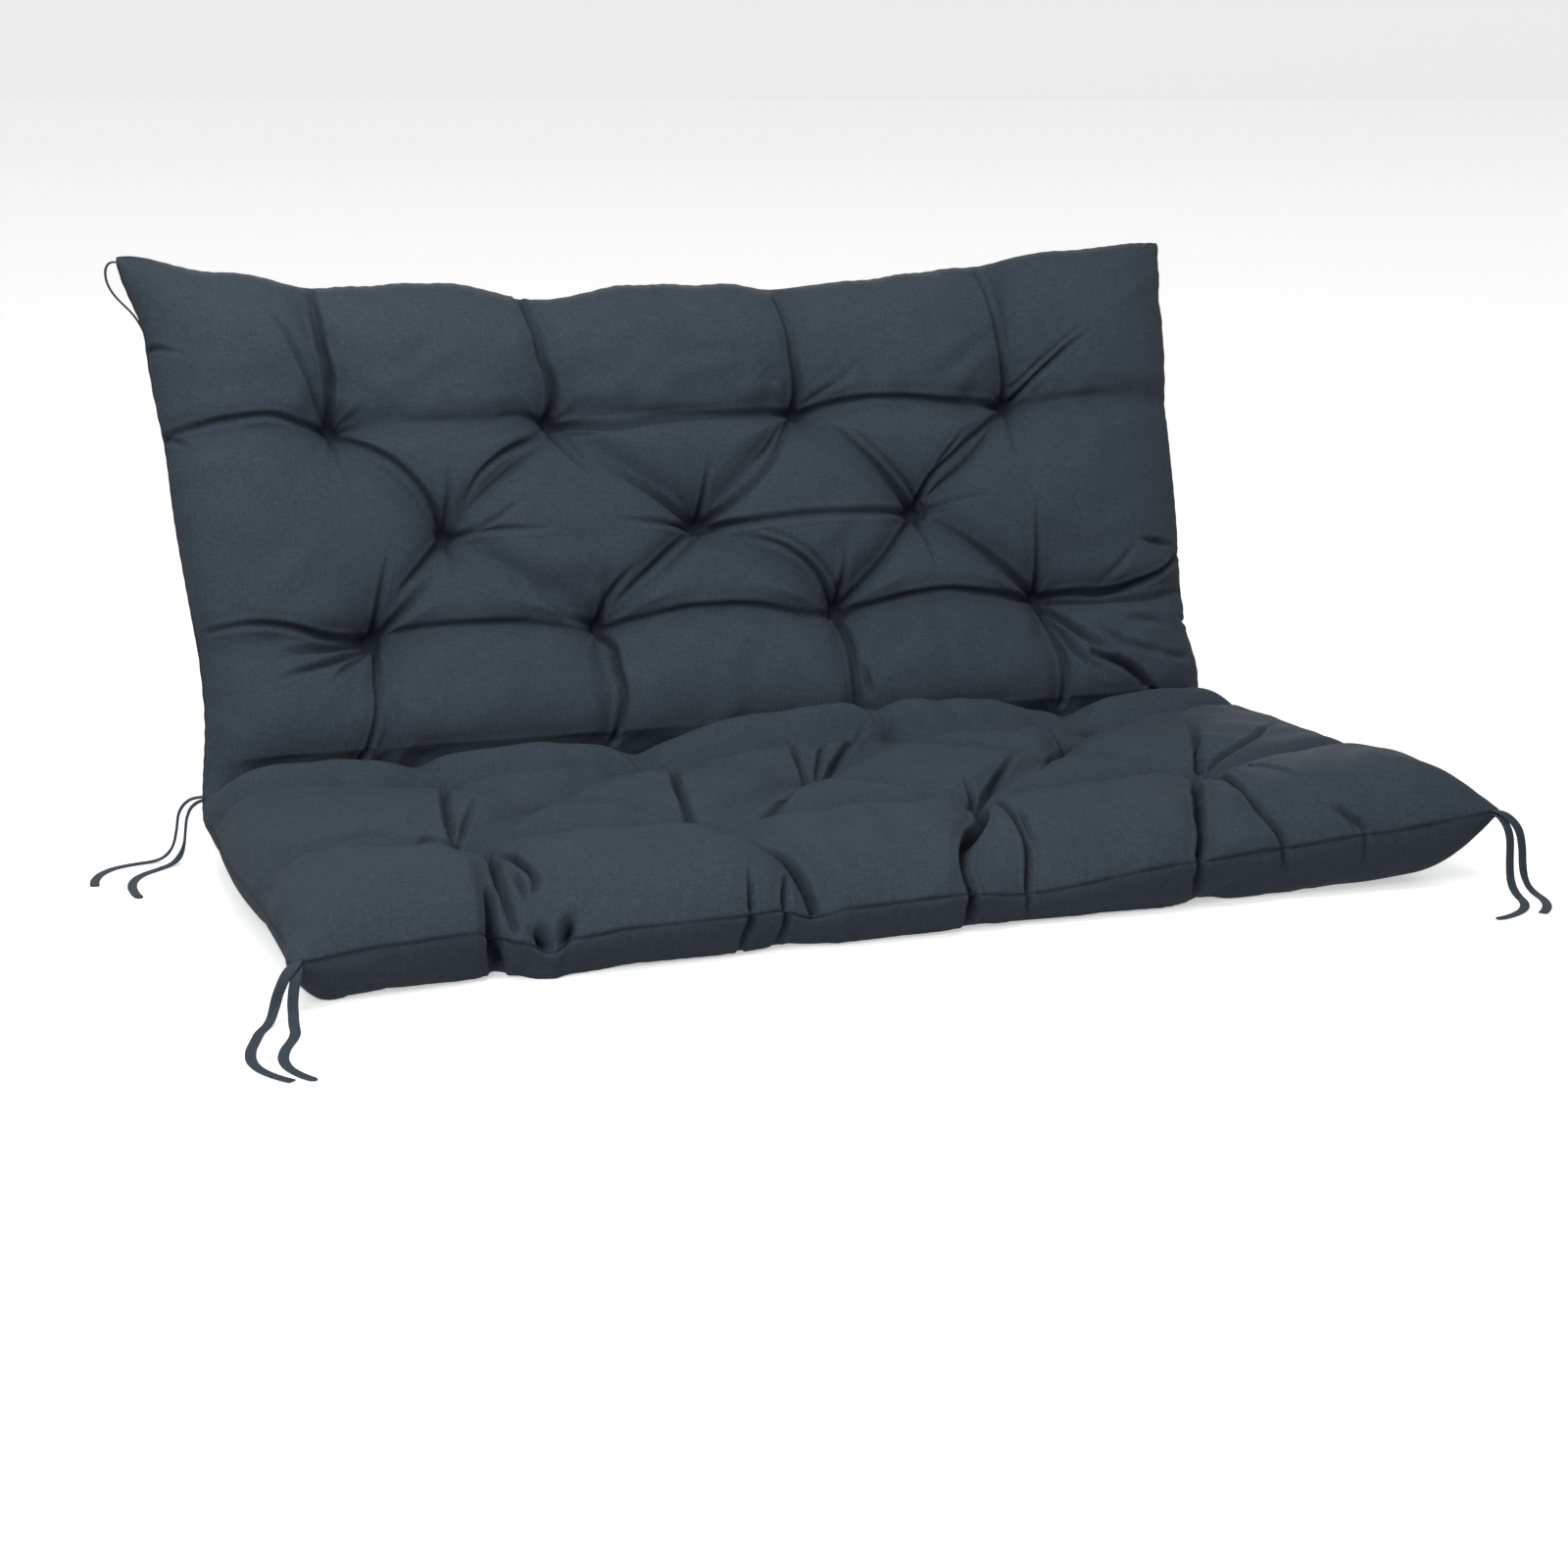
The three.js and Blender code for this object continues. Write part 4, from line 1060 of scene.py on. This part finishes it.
def makeCushion(fit):
    across, run, tuftCells = pulledGrid(fit)
    sides = ("top", "under")
    forms = {side: panelSurface(across, run, side) for side in sides}
    forms["under"] = pressedFlat(forms["under"], run)
    cuts = {side: flatCut(forms[side], fit) for side in sides}
    drifts = {side: np.zeros_like(forms[side]) for side in sides}
    held = np.zeros(across.shape, bool)
    held[[0, -1]] = held[:, [0, -1]] = True
    held[tuple(np.array(tuftCells).T)] = True
    onFold = (np.abs(run - foldRun) < fit["cell"] * 0.51) & (np.abs(across) < fit["heldFold"])
    helds = [held | onFold, held]
    settled = fillCloth([forms[side] for side in sides], [cuts[side] for side in sides], helds, fit)
    print("cloth filled")
    for side, moved in zip(sides, settled):
        drift = moved - forms[side]
        drift = drift - fit["keepForm"] * blurred(drift, fit["driftReach"] / fit["cell"])
        length = np.linalg.norm(drift, axis=2, keepdims=True)
        capped = fit["mostMove"] * np.tanh(length / fit["mostMove"])
        drifts[side] = drift * capped / np.maximum(length, 1e-9)
    fineAcross, fineRun = (finerGrid(part[..., None], fit["finer"])[..., 0] for part in (across, run))
    creases = {
        "top": creaseLines(backCreases, upToRun(0)) + creaseLines(seatCreases),
        "under": creaseLines(bandCreases),
    }
    panels, weave, paintedShades = {}, {}, {}
    for side in sides:
        points = panelSurface(fineAcross, fineRun, side)
        if side == "under":
            points = pressedFlat(points, fineRun)
        points = points + finerGrid(drifts[side], fit["finer"])
        normals = surfaceNormals(points) * (1 if side == "top" else -1)
        lift, onSeam = seamLift(fineAcross, fineRun, form, seamForm)
        drawn, valleys = creaseDepth(fineAcross, fineRun, creases[side], creaseForm)
        uneven = clothUneven(fineAcross, fineRun, unevenForm) * (1 - onSeam) if side == "top" else 0
        points = points + normals * (lift + uneven - drawn)[..., None]
        # painted shade, carried in the fold attribute: deeper in crease valleys, tuft pits and channels, and
        # along the seams
        paintedHollowShade = hollowShade(fineAcross, fineRun, unevenForm) if side == "top" else 0
        paintedCreaseShade = (valleys / creaseForm["depth"]) ** creaseForm["shadePower"]
        paintedShades[side] = np.clip(paintedCreaseShade + paintedHollowShade + seamForm["shade"] * onSeam, 0, 1)
        panels[side] = pressedFlat(points, fineRun) if side == "under" else points
        weave[side] = finerGrid(cuts[side][..., :2], fit["finer"])
    rows, columns = fineAcross.shape
    points, topFaces, underFaces, onSeam = closedPanels(panels["top"], panels["under"])
    uv = np.concatenate([weave[side].reshape(-1, 2) for side in sides])
    plainUnder = gridFaces(rows, columns, first=rows * columns, turned=True)
    cushion = meshFromArrays(
        "filled_cushion", points, np.concatenate([topFaces, underFaces]), uv,
        uvFaces=np.concatenate([topFaces, plainUnder]),
        fold=np.concatenate([paintedShades["top"].ravel(), paintedShades["under"][~onSeam]]),
    )
    cushion.data.materials.append(clothFinish)
    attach(cushion, "root")
    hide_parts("cushion")
    return cushion


makeCushion(clothFit)
print("cushion made")


# Stage: pale floor, soft light


stageForm = {
    "floorSize": 90.0,
    "rim": (6.0, 14.0),  # how far out the floor's edge turns up, and how high
    "floorTone": (0.93, 0.93, 0.93),
    "floorGlow": 0.46,  # keeps the far floor as pale as the near one
    "world": (1.0, 1.0, 1.0),
    "worldStrength": 0.45,
}
# Area lights: place, the point they face, size across and along, and power in watts
lamps = {
    "softbox": ((-1.50, -1.55, 1.55), (-0.20, 0.10, 0.30), (1.1, 0.9), 25),
    "overhead": ((-0.30, -0.55, 1.55), (-0.05, 0.30, 0.50), (1.4, 0.4), 16),
    "low": ((-1.30, -2.00, 0.75), (-0.10, -0.30, 0.10), (1.4, 0.9), 5),
}
rearSun = {"towards": (-0.35, -1.0, -0.28), "strength": 2.2, "wide": 20}


def makeFloor(stage):
    # a square floor whose edge turns up all round, so that it fills the view up to the horizon
    half = stage["floorSize"] / 2
    out, high = stage["rim"]
    square = np.array([(-1, -1), (1, -1), (1, 1), (-1, 1)])
    corners = np.concatenate([np.column_stack([square * reach, np.full(4, height)])
                              for reach, height in ((half, 0), (half + out, high))])
    rim = [(i, i + 4, (i + 1) % 4 + 4, (i + 1) % 4) for i in range(4)]
    floor = meshFromArrays("studio_floor", corners, np.array([(0, 1, 2, 3), *rim]))
    board = NodeBoard("studio_floor")
    paper = board.add("ShaderNodeTexNoise", {"Scale": 60.0, "Detail": 2.0})
    bump = board.add("ShaderNodeBump", {"Height": paper.outputs["Fac"], "Strength": 0.02, "Distance": 0.001})
    surface = board.add("ShaderNodeBsdfPrincipled", {
        "Base Color": (*stage["floorTone"], 1), "Roughness": 0.9, "Normal": bump.outputs["Normal"],
        "Specular IOR Level": 0.1, "Emission Color": (1, 1, 1, 1), "Emission Strength": stage["floorGlow"],
    })
    board.add("ShaderNodeOutputMaterial", {"Surface": surface.outputs["BSDF"]})
    floor.data.materials.append(board.material)
    floor.visible_diffuse = False  # the floor throws no light up onto the cushion


def makeLamp(name, place, target, size, power):
    data = bpy.data.lights.new(name, "AREA")
    data.shape = "RECTANGLE"
    data.size, data.size_y = size
    data.energy = power
    lamp = bpy.data.objects.new(name, data)
    scene.collection.objects.link(lamp)
    lamp.location = place
    lamp.rotation_euler = (Vector(target) - Vector(place)).to_track_quat("-Z", "Y").to_euler()
    lamp.visible_camera = False


def makeRearSun(form):
    # low and wide, from behind, so that the rear face shows too
    data = bpy.data.lights.new("rear", "SUN")
    data.energy = form["strength"]
    data.angle = math.radians(form["wide"])
    sun = bpy.data.objects.new("rear", data)
    scene.collection.objects.link(sun)
    sun.rotation_euler = Vector(form["towards"]).to_track_quat("-Z", "Y").to_euler()


makeFloor(stageForm)
makeRearSun(rearSun)
for name, settings in lamps.items():
    makeLamp(name, *settings)
scene.world = bpy.data.worlds.new("studio")
scene.world.use_nodes = True
background = scene.world.node_tree.nodes["Background"]
background.inputs["Color"].default_value = (*stageForm["world"], 1)
background.inputs["Strength"].default_value = stageForm["worldStrength"]
scene.view_settings.view_transform = "Standard"
print("stage lit")
